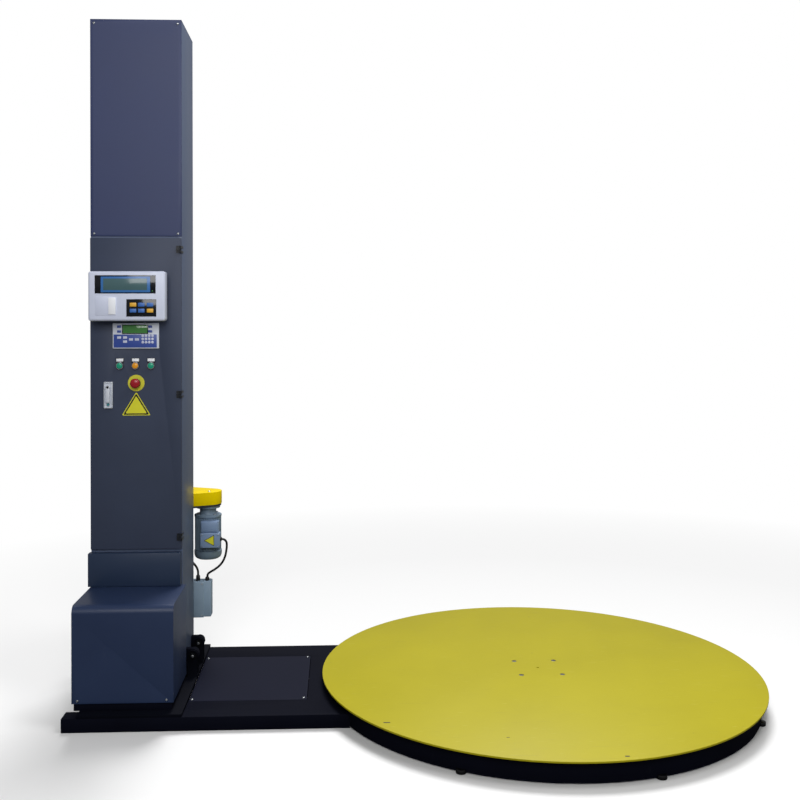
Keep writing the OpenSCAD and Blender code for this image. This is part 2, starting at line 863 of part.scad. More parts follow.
// A control's barrel through the door, with its bezel and contact block
module control_barrel(x, z, bezel) {
    difference() {
        union() {
            rod_y(x, z, door_front - bezel, door_front, bezel_r);
            rod_y(x, z, door_front - 1, door_front + 42, barrel_hole_r - screw_gap);
            block([x - 14, door_front + 41, z - 20], [x + 14, door_front + 66, z + 20]);
        }
        rod_y(x, z, door_front - bezel - 1, door_front + 34, button_r + running);
    }
}

module control_fittings() {
    tri_low = 1058;
    tri_h = 88;
    tri_half = 53.5;
    color("#C9B92A") {
        for (i = [0 : 2]) {
            control_barrel(button_x(i), button_z, bezel_h);
            block([button_x(i) - 13, door_front - 2, button_z + bezel_r + 1],
                  [button_x(i) + 13, door_front, button_z + bezel_r + 13]);
        }
        control_barrel(mast_x + 1, estop_z, bezel_h + 6);
        difference() {
            rod_y(mast_x + 1, estop_z, door_front - 2, door_front, legend_r);
            rod_y(mast_x + 1, estop_z, door_front - 3, door_front + 1, bezel_r - 1);
        }
        translate([mast_x + 1, door_front, tri_low]) rotate([90, 0, 0]) linear_extrude(1)
            polygon([[-tri_half, 0], [tri_half, 0], [0, tri_h]]);
    }
}

module latch_body() {
    color("#C3C6CC") difference() {
        union() {
            block([latch_x - latch_w / 2, door_front - 8, latch_low],
                  [latch_x + latch_w / 2, door_front, latch_low + latch_h]);
            rod_y(latch_x, latch_pivot_z, door_front - 1, door_front + 12, latch_bore_r + 2.5);
        }
        block([latch_x - latch_w / 2 + 5, door_front - 9, latch_low + 5],
              [latch_x + latch_w / 2 - 5, door_front - 3, latch_low + latch_h - 5]);
        rod_y(latch_x, latch_pivot_z, door_front - 10, door_front + 20, latch_bore_r + running);
    }
}

module latch_handle() {
    cam_y = door_front + 18;
    color("#D5D8DD") {
        block([latch_x - 8, door_front - 15, latch_low + 9], [latch_x + 8, door_front - 8.5, latch_pivot_z]);
        rod_y(latch_x, latch_pivot_z, door_front - 15, door_front - 8.5, 8);
        rod_y(latch_x, latch_pivot_z, door_front - 9, cam_y + 3, latch_bore_r);
        block([latch_x - 38, cam_y, latch_pivot_z - 7], [latch_x, cam_y + 3, latch_pivot_z + 7]);
    }
}

module push_button(i) {
    rod_y(button_x(i), button_z, door_front - bezel_h - 4, door_front + 14, button_r);
}

module green_button() { color("#148066") push_button(0); }
module yellow_button() { color("#BE7F16") push_button(1); }
module second_green_button() { color("#148066") push_button(2); }

module estop_button() {
    x = mast_x + 1;
    face = door_front - bezel_h - 6;
    color("#A8121E") {
        rod_y(x, estop_z, face - estop_travel - 13, face - estop_travel - 1, estop_head_r);
        rod_y(x, estop_z, face - estop_travel - 2, door_front + 14, button_r);
    }
}

// ---- Carriage ----

module trolley() {
    half = mast_w / 2 - guide_in - rail_bar - block_gap;
    color("#5C6470") {
        block([mast_x - half + block_t, trolley_y, trolley_low],
              [mast_x + half - block_t, trolley_y + trolley_t, trolley_high]);
        for (side = [-1, 1], z = [trolley_low, trolley_high - 60]) {
            outer = mast_x + side * half;
            inner = mast_x + side * (half - block_t - 1);
            block([min(outer, inner), guide_y + 2, z], [max(outer, inner), guide_y + 24, z + 60]);
        }
        block([mast_x - 40, trolley_y + trolley_t - 1, 380], [mast_x + 40, back_plate_y, 580]);
        block([mast_x - 15, lift_y + lift_tip_r + chain_gap + lift_chain_t + 1, 440],
              [mast_x + 15, trolley_y + 1, 500]);
    }
}

// Outline of the upper plate and of the guard on it
module guard_outline(inset) {
    belt_outline([motor_x, motor_y], guard_small_r - inset, [guard_x, motor_y], guard_big_r - inset);
}

// The welded frame: a back plate, and an upper and a lower plate that hold the shafts
module carriage_frame() {
    bore = shaft_r + running;
    back = back_plate_y + back_plate_t;
    hole = sensor_cable_route[len(sensor_cable_route) - 1];
    color("#2A3140") {
        difference() {
            block([mast_left + 70, back_plate_y, carriage_low],
                  [mast_right - 5, back, upper_top]);
            rod_y(hole[0], hole[2], back_plate_y - 1, back + 1, cable_r + 4);
        }
        difference() {
            translate([0, 0, upper_low]) linear_extrude(carriage_t) difference() {
                union() {
                    guard_outline(guard_sheet + 0.5);
                    translate([guard_x - 90, back]) square([130, 28]);
                    translate([guard_x - 80, motor_y]) square([140, 190]);
                }
                translate([guard_x - 400, back_plate_y - 200]) square([800, 200 + back_plate_t]);
            }
            for (at = [roller_1, roller_2, dancer_pivot])
                rod_z(at, upper_low - 1, upper_top + 1, bore);
            rod_z([motor_x, motor_y], upper_low - 1, upper_top + 1, motor_shaft_r + 4);
        }
        difference() {
            translate([0, 0, carriage_low]) linear_extrude(carriage_t) union() {
                translate([spindle_at[0] - 60, back])
                    square([guard_x + 120 - spindle_at[0], 270]);
            }
            for (at = [roller_1, roller_2, dancer_pivot])
                rod_z(at, carriage_low - 1, bottom_top + 1, bore);
        }
        rod_z(spindle_at, bottom_top - 1, bottom_top + 60, shaft_r);
    }
}

module chain_guard() {
    color("#BFAB08") difference() {
        translate([0, 0, upper_top]) linear_extrude(guard_h) guard_outline(0);
        translate([0, 0, upper_top - 1]) linear_extrude(guard_h + 1 - guard_sheet)
            guard_outline(guard_sheet);
    }
}

module roller_chains() {
    rise = (small_chain_h - small_sprocket_t) / 2;
    color("#3A3630") {
        translate([0, 0, level_1 - rise])
            chain_loop([motor_x, motor_y], tip_radius(motor_teeth, small_pitch), roller_1,
                       tip_radius(roller_1_teeth, small_pitch), small_chain_t, small_chain_h);
        translate([0, 0, level_2 - rise])
            chain_loop(roller_1, tip_radius(roller_1_small_teeth, small_pitch), roller_2,
                       tip_radius(roller_2_teeth, small_pitch), small_chain_t, small_chain_h);
    }
}

module small_sprocket(at, z, teeth) {
    translate([at[0], at[1], z]) linear_extrude(small_sprocket_t)
        sprocket_outline(teeth, small_pitch);
}

module motor_sprocket() {
    at = [motor_x, motor_y];
    color("#6A6C6E") {
        small_sprocket(at, level_1, motor_teeth);
        rod_z(at, upper_low - 40, level_1 + 12, motor_shaft_r);
    }
}

// A pre-stretch roller: rubber-covered tube on a steel shaft
module stretch_roller(at) {
    rod_z(at, bottom_top + 2, upper_low - 2, stretch_r);
    rod_z(at, carriage_low - 4, level_2 + small_sprocket_t + 4, shaft_r);
}

module stretch_roller_1() {
    color("#1C1C1E") {
        stretch_roller(roller_1);
        small_sprocket(roller_1, level_1, roller_1_teeth);
        small_sprocket(roller_1, level_2, roller_1_small_teeth);
    }
}

module stretch_roller_2() {
    color("#1C1C1E") {
        stretch_roller(roller_2);
        small_sprocket(roller_2, level_2, roller_2_teeth);
    }
}

module dancer_arm() {
    color("#7C828A") {
        rod_z(dancer_pivot, carriage_low - 4, upper_top + 6, shaft_r);
        for (z = [bottom_top + 4, upper_low - 12])
            translate([0, 0, z]) linear_extrude(8) belt_outline(dancer_pivot, 16, dancer_at, 12);
        rod_z(dancer_at, bottom_top + 6, upper_low - 6, axle_r);
    }
}

module dancer_roller() {
    color("#B8BABC") difference() {
        rod_z(dancer_at, bottom_top + 14, upper_low - 14, dancer_r);
        rod_z(dancer_at, bottom_top, upper_low, axle_r + running);
    }
}

module film_spindle() {
    color("#A9ACB0") difference() {
        union() {
            rod_z(spindle_at, bottom_top + gap, bottom_top + 8, spindle_flange_r);
            rod_z(spindle_at, bottom_top + 7, spindle_top, spindle_r);
        }
        rod_z(spindle_at, bottom_top - 1, bottom_top + 62, shaft_r + running);
    }
}

// Motor that hangs under the upper plate, with its terminal box and gland
module carriage_motor() {
    at = [motor_x, motor_y];
    shield_z = upper_low - 46;
    terminal_top = terminal_low + terminal_h;
    gland_end = motor_cable_route[0];
    color("#5F6B78") difference() {
        union() {
            rod_z(at, motor_low, motor_low + 36, motor_r);
            rod_z(at, motor_low + 34, shield_z + 1, motor_r - 4);
            rod_z(at, shield_z, shield_z + 10, motor_r - 1);
            rod_z(at, shield_z + 9, upper_low - 9, 36);
            rod_z(at, upper_low - 10, upper_low, 50);
            block([terminal_right - terminal_w, terminal_y, terminal_low],
                  [terminal_right, terminal_y + terminal_d, terminal_top]);
            block([terminal_right - terminal_w + 1, terminal_y + 12, terminal_top - 1],
                  [terminal_right - 7, terminal_y + terminal_d, terminal_top + 46]);
            rod_x(gland_end[1], gland_end[2], terminal_right - 1, gland_end[0], gland_r);
        }
        rod_z(at, upper_low - 60, upper_low + 1, motor_shaft_r + running);
    }
}

// Enclosure on the back plate: a body, a narrower lid in front, and two glands on top
module junction_box() {
    lid_back = box_front + box_lid;
    color("#6C7C86") {
        block([box_left, box_front, box_low], [box_right - 28, lid_back, box_top]);
        block([box_left, lid_back - 1, box_low], [box_right, box_front + box_d, box_top]);
        block([box_left, back_plate_y + back_plate_t, box_low + 20],
              [mast_right - 8, box_front + 1, box_top - 20]);
        for (end = [motor_cable_route[len(motor_cable_route) - 1], sensor_cable_route[0]])
            rod_z(end, box_top - 1, end[2], gland_r);
    }
}

module motor_cable() {
    color("#0E0F12") swept_tube(motor_cable_route, cable_r);
}

module sensor_cable() {
    color("#0E0F12") swept_tube(sensor_cable_route, cable_r);
}

base_frame();
foot_plate();
plinth();
foot_housing();
base_fasteners();
chain_cover();
base_tray();
base_skirt();
foot_pads();
king_pin();
drive_motor();
drive_chain();
turntable_plate();
turntable_hub();
hub_bolts();
roller_track();
support_roller(0);  // support_roller_1
support_roller(1);  // support_roller_2
support_roller(2);  // support_roller_3
support_roller(3);  // support_roller_4
support_roller(4);  // support_roller_5
support_roller(5);  // support_roller_6
drive_sprocket();
mast_column();
upper_panel();
lower_panel();
panel_screws();
mast_ends();
guide_rails();
control_gear();
hinge_knuckles();
lift_motor();
lift_chain();
lift_sprocket_top();
lift_sprocket_bottom();
door_panel();
door_hinges();
indicator();
text_panel();
control_fittings();
latch_body();
latch_handle();
green_button();
yellow_button();
second_green_button();
estop_button();
trolley();
carriage_frame();
chain_guard();
roller_chains();
motor_sprocket();
stretch_roller_1();
stretch_roller_2();
dancer_arm();
dancer_roller();
film_spindle();
carriage_motor();
junction_box();
motor_cable();
sensor_cable();
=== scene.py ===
"""Looks of a turntable pallet wrapper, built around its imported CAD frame. Metres."""
import math

import bmesh
import bpy
from mathutils import Matrix, Vector


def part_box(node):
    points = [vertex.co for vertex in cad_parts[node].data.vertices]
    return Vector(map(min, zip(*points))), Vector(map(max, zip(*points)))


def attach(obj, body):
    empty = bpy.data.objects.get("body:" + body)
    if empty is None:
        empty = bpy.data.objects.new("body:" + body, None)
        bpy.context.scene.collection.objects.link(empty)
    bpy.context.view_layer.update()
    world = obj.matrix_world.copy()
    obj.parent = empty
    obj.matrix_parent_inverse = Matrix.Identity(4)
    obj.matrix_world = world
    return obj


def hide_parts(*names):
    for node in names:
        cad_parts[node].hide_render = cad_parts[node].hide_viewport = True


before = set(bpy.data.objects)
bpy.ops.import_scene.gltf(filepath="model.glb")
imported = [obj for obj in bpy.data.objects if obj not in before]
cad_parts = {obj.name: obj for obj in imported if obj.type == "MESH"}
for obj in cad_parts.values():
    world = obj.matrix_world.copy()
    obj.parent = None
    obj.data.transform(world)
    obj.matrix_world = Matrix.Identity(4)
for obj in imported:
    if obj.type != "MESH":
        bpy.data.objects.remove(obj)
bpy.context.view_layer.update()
MM = 0.001

# ---- Studio ----
# A pale matt floor that fades to plain white away from the machine, under a white sky. A
# broad sun from behind and above, a high lamp on the right and a wide fill in front light
# it. The camera stands at eye height, in front, between the mast and the turntable.

EYE = (-0.7562, -3.7252, 1.3679)
SKY_LIT, SKY_SEEN = 0.26, 1.0
FADE_START, FADE_END = 2.2, 4.0
FLOOR_HALF, FLOOR_DROP = 30, 0.0005


def srgb(code):
    """A hex colour as linear red, green, blue and alpha."""
    parts = [int(code[i:i + 2], 16) / 255 for i in (1, 3, 5)]
    linear = [c / 12.92 if c <= 0.04045 else ((c + 0.055) / 1.055) ** 2.4 for c in parts]
    return (*linear, 1)


def add(tree, kind, settings=None, **sockets):
    """A shader node with its settings, values and links. i0 is its first socket."""
    node = tree.nodes.new("ShaderNode" + kind)
    for key, value in (settings or {}).items():
        setattr(node, key, value)
    for key, value in sockets.items():
        numbered = key[0] == "i" and key[1:].isdigit()
        socket = node.inputs[int(key[1:]) if numbered else key.replace("_", " ")]
        if isinstance(value, bpy.types.NodeSocket):
            tree.links.new(value, socket)
        else:
            socket.default_value = value
    return node


def start_material(name, **sockets):
    """A material with one Principled BSDF, and its node tree."""
    material = bpy.data.materials.new(name)
    material.use_nodes = True
    tree = material.node_tree
    tree.nodes.clear()
    shader = add(tree, "BsdfPrincipled", **sockets)
    out = tree.nodes.new("ShaderNodeOutputMaterial")
    tree.links.new(shader.outputs["BSDF"], out.inputs["Surface"])
    return material, tree, shader


def piece(name, bm, material, body=None, replaces=(), smooth_below=35):
    """A finished mesh piece: soft across shallow edges, crisp across the others."""
    bmesh.ops.recalc_face_normals(bm, faces=bm.faces)
    for face in bm.faces:
        face.smooth = True
    for edge in bm.edges:
        shallow = edge.calc_face_angle(0) < math.radians(smooth_below)
        edge.smooth = len(edge.link_faces) == 2 and shallow
    mesh = bpy.data.meshes.new(name)
    bm.to_mesh(mesh)
    bm.free()
    for each in material if isinstance(material, (list, tuple)) else [material]:
        mesh.materials.append(each)
    thing = bpy.data.objects.new(name, mesh)
    bpy.context.scene.collection.objects.link(thing)
    if body:
        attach(thing, body)
    if replaces:
        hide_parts(*replaces)
    return thing


scene = bpy.context.scene
scene.view_settings.view_transform = "Standard"

camera_data = bpy.data.cameras.new("camera")
camera_data.sensor_width = 36
camera_data.lens = 44.017
camera_data.shift_x = 0.02455
camera_data.shift_y = -0.0848
camera_data.clip_end = 60
camera = bpy.data.objects.new("camera", camera_data)
camera.location = EYE
camera.rotation_euler = (math.pi / 2, 0.002, -0.04134)
scene.collection.objects.link(camera)
scene.camera = camera

world = bpy.data.worlds.new("white_sky")
world.use_nodes = True
sky = world.node_tree
seen = add(sky, "LightPath")
level = add(sky, "MapRange", Value=seen.outputs["Is Camera Ray"], To_Min=SKY_LIT, To_Max=SKY_SEEN)
sky.nodes["Background"].inputs["Color"].default_value = (1, 1, 1, 1)
sky.links.new(level.outputs["Result"], sky.nodes["Background"].inputs["Strength"])
scene.world = world

sun_data = bpy.data.lights.new("sky_panel", "SUN")
sun_data.energy = 2.5
sun_data.angle = math.radians(24)
sun = bpy.data.objects.new("sky_panel", sun_data)
sun.rotation_euler = (math.radians(-30), math.radians(6), 0)
scene.collection.objects.link(sun)
for name, at, aim, size, power in (
        ("high_right", (1.0, -1.0, 4.0), (-1.4, 0.1, 1.7), 1.6, 45),
        ("front_fill", (-1.0, -4.6, 3.4), (-1.5, 0.0, 1.5), 2.6, 120)):
    lamp_data = bpy.data.lights.new(name, "AREA")
    lamp_data.size = size
    lamp_data.energy = power
    lamp = bpy.data.objects.new(name, lamp_data)
    lamp.location = at
    lamp.rotation_euler = (Vector(aim) - Vector(at)).to_track_quat("-Z", "Y").to_euler()
    scene.collection.objects.link(lamp)

# The floor takes a soft contact shadow near the machine and has no horizon line.
floor_white, tree, shader = start_material("floor_white", Roughness=0.9, Specular_IOR_Level=0.1)
seen = add(tree, "LightPath")
pale = add(tree, "Mix", {"data_type": "RGBA"}, Factor=seen.outputs["Is Camera Ray"],
           i6=srgb("#6A6A6A"), i7=srgb("#E9E9E9"))
tree.links.new(pale.outputs[2], shader.inputs["Base Color"])
place = add(tree, "TexCoord").outputs["Object"]
away = add(tree, "VectorMath", {"operation": "LENGTH"}, i0=place)
fade = add(tree, "MapRange", Value=away.outputs["Value"], From_Min=FADE_START, From_Max=FADE_END)
glow = add(tree, "Math", {"operation": "MULTIPLY"}, i0=fade.outputs["Result"],
           i1=seen.outputs["Is Camera Ray"])
paper = add(tree, "Emission", Color=(1, 1, 1, 1), Strength=1.0)
sweep = add(tree, "MixShader", i0=glow.outputs[0], i1=shader.outputs[0], i2=paper.outputs[0])
tree.links.new(sweep.outputs[0], tree.nodes["Material Output"].inputs["Surface"])
bm = bmesh.new()
bmesh.ops.create_grid(bm, x_segments=1, y_segments=1, size=FLOOR_HALF)
bmesh.ops.translate(bm, verts=bm.verts, vec=(0, 0, -FLOOR_DROP))
floor = piece("floor", bm, floor_white)

# ---- Carriage cables ----
# Two rubber-sheathed flexes on the film carriage, held by compression glands: the motor's
# supply, with one at each end, from its terminal box down into the junction box, and a
# sensor lead, with one where it leaves the junction box, that goes through the back plate.


def grained(tree, shader, coords, scale, strength, depth, detail=2.0):
    """A fine relief that breaks up the highlights. A scale of 1000 is a 1 mm grain."""
    grain = add(tree, "TexNoise", Vector=coords, Scale=scale, Detail=detail)
    bump = add(tree, "Bump", Height=grain.outputs["Fac"], Strength=strength, Distance=depth)
    tree.links.new(bump.outputs["Normal"], shader.inputs["Normal"])


# Near black with a soft sheen and faint dust, so each flex reads as a round cord.
rubber_black, tree, shader = start_material("rubber_black", Roughness=0.45,
                                            Specular_IOR_Level=0.45)
coords = add(tree, "TexCoord").outputs["Object"]
dust = add(tree, "TexNoise", Vector=coords, Scale=60.0, Detail=5.0)
shade = add(tree, "ValToRGB", Fac=dust.outputs["Fac"])
shade.color_ramp.elements[0].color = srgb("#0B0C0F")
shade.color_ramp.elements[1].color = srgb("#1B1C20")
tree.links.new(shade.outputs["Color"], shader.inputs["Base Color"])
grained(tree, shader, coords, 1400.0, 0.15, 0.0004)

CABLE_R = 0.0045
MOTOR_CABLE = [
    (-1242, 316, 520), (-1234, 316, 518.2), (-1227.4, 316.5, 513.2), (-1223.6, 317, 505.9),
    (-1222.5, 318, 496), (-1223, 319, 484), (-1225, 320, 469), (-1228, 321, 454),
    (-1233, 322, 439), (-1240, 323, 425), (-1250, 324, 412), (-1262, 325, 401),
    (-1276, 326, 391), (-1291, 328, 382), (-1301, 329, 373.5), (-1304, 330, 362)]
SENSOR_CABLE = [
    (-1341, 326, 371), (-1341, 326, 381), (-1342.5, 325, 392), (-1346.5, 322.5, 403),
    (-1352.5, 319, 413.5), (-1359.5, 314.5, 423), (-1366.5, 308.5, 431.5),
    (-1373, 300.5, 437.5), (-1376, 292, 440)]


def flex(name, route):
    """A cable as one smooth curve through its route's points."""
    curve = bpy.data.curves.new(name, "CURVE")
    curve.dimensions = "3D"
    curve.bevel_depth = CABLE_R
    curve.bevel_resolution = 5
    curve.use_fill_caps = True
    spline = curve.splines.new("POLY")
    spline.points.add(len(route) - 1)
    for point, at in zip(spline.points, route):
        point.co = (*(Vector(at) * MM), 1)
    curve.materials.append(rubber_black)
    thing = bpy.data.objects.new(name, curve)
    scene.collection.objects.link(thing)
    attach(thing, "carriage")
    length = sum((Vector(b) - Vector(a)).length for a, b in zip(route, route[1:])) * MM
    return thing, length


def smooth_route(route, steps=4):
    """The route with points between its points, on a Catmull-Rom curve."""
    points = [Vector(p) for p in route]
    points = [2 * points[0] - points[1], *points, 2 * points[-1] - points[-2]]
    smooth = []
    for a, b, c, d in zip(points, points[1:], points[2:], points[3:]):
        for k in range(steps):
            t = k / steps
            smooth.append(0.5 * (2 * b + (c - a) * t + (2 * a - 5 * b + 4 * c - d) * t ** 2
                                 + (3 * b - 3 * c + d - a) * t ** 3))
    return smooth + [points[-2]]


for name, route in (("motor_cable_flex", MOTOR_CABLE), ("sensor_cable_flex", SENSOR_CABLE)):
    cable, length = flex(name, smooth_route(route))
    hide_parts(name.replace("_flex", ""))

# ---- Base frame, deck and foot plate ----
# A weldment of black-painted steel: two flat rails on the floor, a bridge between them with
# a folded deck over the drive chain, and a thick foot plate that the mast stands on.


def marked(tree, under, pattern, start, full, strength, colour):
    """Marks of a second colour where a pattern rises from its start to its full value."""
    mask = add(tree, "ValToRGB", Fac=pattern)
    for stop, place, value in zip(mask.color_ramp.elements, (start, full), (0, strength)):
        stop.position = place
        stop.color = (value, value, value, 1)
    laid = add(tree, "Mix", {"data_type": "RGBA"}, Factor=mask.outputs["Color"], i6=under,
               i7=srgb(colour))
    return laid.outputs[2]


def paint(name, colour, shadow, roughness=0.38, speck=0.0, peel_mm=1.6, shine=0.4):
    """Sprayed and baked paint: fine orange peel, slight tone drift, faint dust and rubs."""
    material, tree, shader = start_material(name, Roughness=roughness, Specular_IOR_Level=shine)
    coords = add(tree, "TexCoord").outputs["Object"]
    drift = add(tree, "TexNoise", Vector=coords, Scale=3.5, Detail=6.0, Roughness=0.6)
    coat = add(tree, "Mix", {"data_type": "RGBA"}, Factor=drift.outputs["Fac"],
               i6=srgb(shadow), i7=srgb(colour)).outputs[2]
    if speck:
        stretched = add(tree, "Mapping", Vector=coords, Scale=(1.0, 1.0, 0.25))
        rub = add(tree, "TexNoise", Vector=stretched.outputs[0], Scale=38.0, Detail=8.0,
                  Roughness=0.75)
        coat = marked(tree, coat, rub.outputs["Fac"], 0.62, 0.78, speck, "#8E929C")
    tree.links.new(coat, shader.inputs["Base Color"])
    gloss = add(tree, "MapRange", Value=drift.outputs["Fac"], To_Min=roughness - 0.06,
                To_Max=roughness + 0.08)
    tree.links.new(gloss.outputs["Result"], shader.inputs["Roughness"])
    grained(tree, shader, coords, 1000 / peel_mm, 0.10, 0.0003)
    return material


def box_mesh(low, high, bevel=0.0, segments=2):
    """A box from corner to corner in metres, its edges rounded."""
    bm = bmesh.new()
    bmesh.ops.create_cube(bm, size=1)
    low, high = Vector(low), Vector(high)
    bmesh.ops.scale(bm, verts=bm.verts, vec=high - low)
    bmesh.ops.translate(bm, verts=bm.verts, vec=(low + high) / 2)
    if bevel:
        bmesh.ops.bevel(bm, geom=bm.edges[:], offset=bevel, offset_type="OFFSET", affect="EDGES",
                        segments=segments, profile=0.5, material=-1, clamp_overlap=True)
    return bm


def softened(node, width, shortest=0.004):
    """A CAD node's shape with its sharp edges rounded."""
    bm = bmesh.new()
    bm.from_mesh(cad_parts[node].data)
    bmesh.ops.remove_doubles(bm, verts=bm.verts, dist=1e-5)
    bmesh.ops.dissolve_limit(bm, angle_limit=math.radians(1), verts=bm.verts, edges=bm.edges)
    sharp = [e for e in bm.edges if len(e.link_faces) == 2
             and math.radians(35) < e.calc_face_angle(0) < math.radians(150)
             and e.calc_length() > shortest]
    bmesh.ops.bevel(bm, geom=sharp, offset=width, offset_type="OFFSET", affect="EDGES",
                    segments=2, profile=0.5, material=-1, clamp_overlap=True)
    return bm


def coated(name, node, edge, material, body, shortest=0.004):
    """A CAD node's shape with its sharp edges rounded, in its own finish."""
    return piece(name, softened(node, edge, shortest), material, body, [node])


# The floor steel stays near black and matt, and the deck is a little lighter with more dust.
black_paint = paint("black_paint", "#10121E", "#0A0B13", 0.6, speck=0.03, shine=0.02)
deck_paint = paint("deck_paint", "#1B1D2B", "#141624", 0.55, speck=0.06, shine=0.03)
foot_paint = paint("foot_paint", "#0D0F18", "#08090F", 0.6, speck=0.03, shine=0.02)
coated("base_frame_steel", "base_frame", 0.0015, black_paint, "base")
coated("foot_plate_steel", "foot_plate", 0.0012, foot_paint, "base")
coated("plinth_steel", "plinth", 0.001, black_paint, "base")

# ---- Chain cover and its screws ----
# A 3 mm steel sheet that drops flush into the deck over the drive chain, held by four
# button-head screws.


def turned(profile, at=(0, 0, 0), axis="Z", steps=48):
    """A piece turned on a lathe: profile is (radius, height) pairs in mm along its axis."""
    bm = bmesh.new()
    rim = [bm.verts.new((r * MM, 0, z * MM)) for r, z in profile]
    edges = [bm.edges.new(pair) for pair in zip(rim, rim[1:])]
    bmesh.ops.spin(bm, geom=rim + edges, cent=(0, 0, 0), axis=(0, 0, 1), angle=math.tau,
                   steps=steps, use_merge=True, use_duplicate=False)
    bmesh.ops.remove_doubles(bm, verts=bm.verts, dist=1e-6)
    turn = {"Z": Matrix(), "X": Matrix.Rotation(math.pi / 2, 4, "Y"),
            "Y": Matrix.Rotation(-math.pi / 2, 4, "X"),
            "-Y": Matrix.Rotation(math.pi / 2, 4, "X")}[axis]
    bmesh.ops.transform(bm, matrix=Matrix.Translation(Vector(at)) @ turn, verts=bm.verts)
    return bm


def joined(parts):
    """Several meshes as one."""
    whole = bmesh.new()
    for part in parts:
        held = bpy.data.meshes.new("part")
        part.to_mesh(held)
        part.free()
        whole.from_mesh(held)
        bpy.data.meshes.remove(held)
    return whole


def clouded(tree, shader, coords, scale, detail, shadow, colour):
    """A base colour that drifts softly between two tones. Gives the drift pattern."""
    cloud = add(tree, "TexNoise", Vector=coords, Scale=scale, Detail=detail).outputs["Fac"]
    tone = add(tree, "Mix", {"data_type": "RGBA"}, Factor=cloud, i6=srgb(shadow),
               i7=srgb(colour))
    tree.links.new(tone.outputs[2], shader.inputs["Base Color"])
    return cloud


def metal(name, colour, roughness, brushed_mm=0.0, stain="#6B6E72"):
    """Bare or plated metal, with fine grinding marks and a slight uneven sheen."""
    material, tree, shader = start_material(name, Metallic=1.0, Roughness=roughness)
    coords = add(tree, "TexCoord").outputs["Object"]
    haze = clouded(tree, shader, coords, 45.0, 6.0, stain, colour)
    gloss = add(tree, "MapRange", Value=haze, To_Min=roughness - 0.08, To_Max=roughness + 0.12)
    tree.links.new(gloss.outputs["Result"], shader.inputs["Roughness"])
    if brushed_mm:
        along = add(tree, "Mapping", Vector=coords, Scale=(1.0, 1.0, 0.05))
        grained(tree, shader, along.outputs[0], 1000 / brushed_mm, 0.12, 0.0002, 3.0)
    return material


def screw_head(radius, height, at, axis, socket=0.45, steps=24):
    """A button head with a round socket. Sizes in mm, place in metres."""
    inner = radius * socket
    return turned([(0, height * 0.35), (inner, height * 0.35), (inner, height * 0.93),
                   (inner * 1.1, height), (radius * 0.7, height * 0.92),
                   (radius * 0.93, height * 0.6), (radius, height * 0.2), (radius, 0), (0, 0)],
                  at, axis, steps)


# Zinc plate gives the small bright dots that pick out every screw.
zinc = metal("zinc_plate", "#C9CCCE", 0.34, stain="#8C8F92")
COVER_IN_LEFT, COVER_IN_FRONT, COVER_IN = 0.010, 0.015, 0.012
HOUSING_IN_LEFT, HOUSING_IN_RIGHT, HOUSING_UP = 0.020, 0.024, 0.010
cover_low, cover_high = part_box("chain_cover")
coated("chain_cover_sheet", "chain_cover", 0.0006, deck_paint, "base")
cover_screws = [(x, y, cover_high.z)
                for x in (cover_low.x + COVER_IN_LEFT, cover_high.x - COVER_IN)
                for y in (cover_low.y + COVER_IN_FRONT, cover_high.y - COVER_IN)]
housing_low, housing_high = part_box("foot_housing")
housing_screws = [(x, housing_low.y, housing_low.z + HOUSING_UP)
                  for x in (housing_low.x + HOUSING_IN_LEFT, housing_high.x - HOUSING_IN_RIGHT)]
heads = [screw_head(5, 3, at, "Z") for at in cover_screws]
heads += [screw_head(4.5, 3, at, "-Y") for at in housing_screws]
piece("cover_and_housing_screws", joined(heads), zinc, "base", ["base_fasteners"])

# ---- Transport hinge pins ----
# Two M20 bolts in line along Y, of blackened steel with bright turned ends. They pass
# through the ears on the foot plate and the lugs under the mast.

PIN_X, PIN_YS, PIN_Z, PIN_R, EAR_HALF = -1.319, (0.050, 0.203), 0.137, 10, 24
pins, pin_ends = [], []
for y in PIN_YS:
    pins.append(turned([(0, -EAR_HALF), (PIN_R, -EAR_HALF), (PIN_R, EAR_HALF), (0, EAR_HALF)],
                       (PIN_X, y, PIN_Z), "Y", 32))
    for side, axis in ((-1, "-Y"), (1, "Y")):
        face = (PIN_X, y + side * EAR_HALF * MM, PIN_Z)
        pins.append(turned([(0, 0), (14, 0), (14, 1.5), (0, 1.5)], face, axis, 32))
        pins.append(turned([(0, 1.5), (11.5, 1.5), (11.5, 6), (10.4, 7), (0, 7)], face, axis, 6))
        pin_ends.append(turned([(0, 6), (5.5, 6), (5.5, 7.6), (4.8, 8), (0, 8)], face, axis, 24))
# Oiled black heads with a low gleam, and bright ends that read as turned steel.
black_oxide = metal("black_oxide", "#2B2D31", 0.4, stain="#17181B")
piece("transport_hinge_bolts", joined(pins), black_oxide, "base")
piece("transport_hinge_bolt_ends", joined(pin_ends), zinc, "base")

# ---- Turntable base ----
# A round tray of black-painted steel with a rolled skirt. It holds six nylon support
# rollers in welded brackets, the ground king pin, and moulded feet that peep out below.

coated("rolled_skirt", "base_skirt", 0.0006, black_paint, "base")
# Wet-looking black mouldings that catch a small highlight below the matt skirt.
pad_rubber, tree, shader = start_material("pad_rubber", Roughness=0.18)
coords = add(tree, "TexCoord").outputs["Object"]
clouded(tree, shader, coords, 220.0, 4.0, "#020203", "#141518")
coated("moulded_feet", "foot_pads", 0.002, pad_rubber, "base", 0.001)

# Ground bearing steel, bright with fine lines, and chain steel dark under its oil.
ground_steel = metal("ground_steel", "#B9BBBE", 0.28, brushed_mm=0.8)
oily_steel = metal("oily_steel", "#4A4640", 0.35, stain="#26231F")
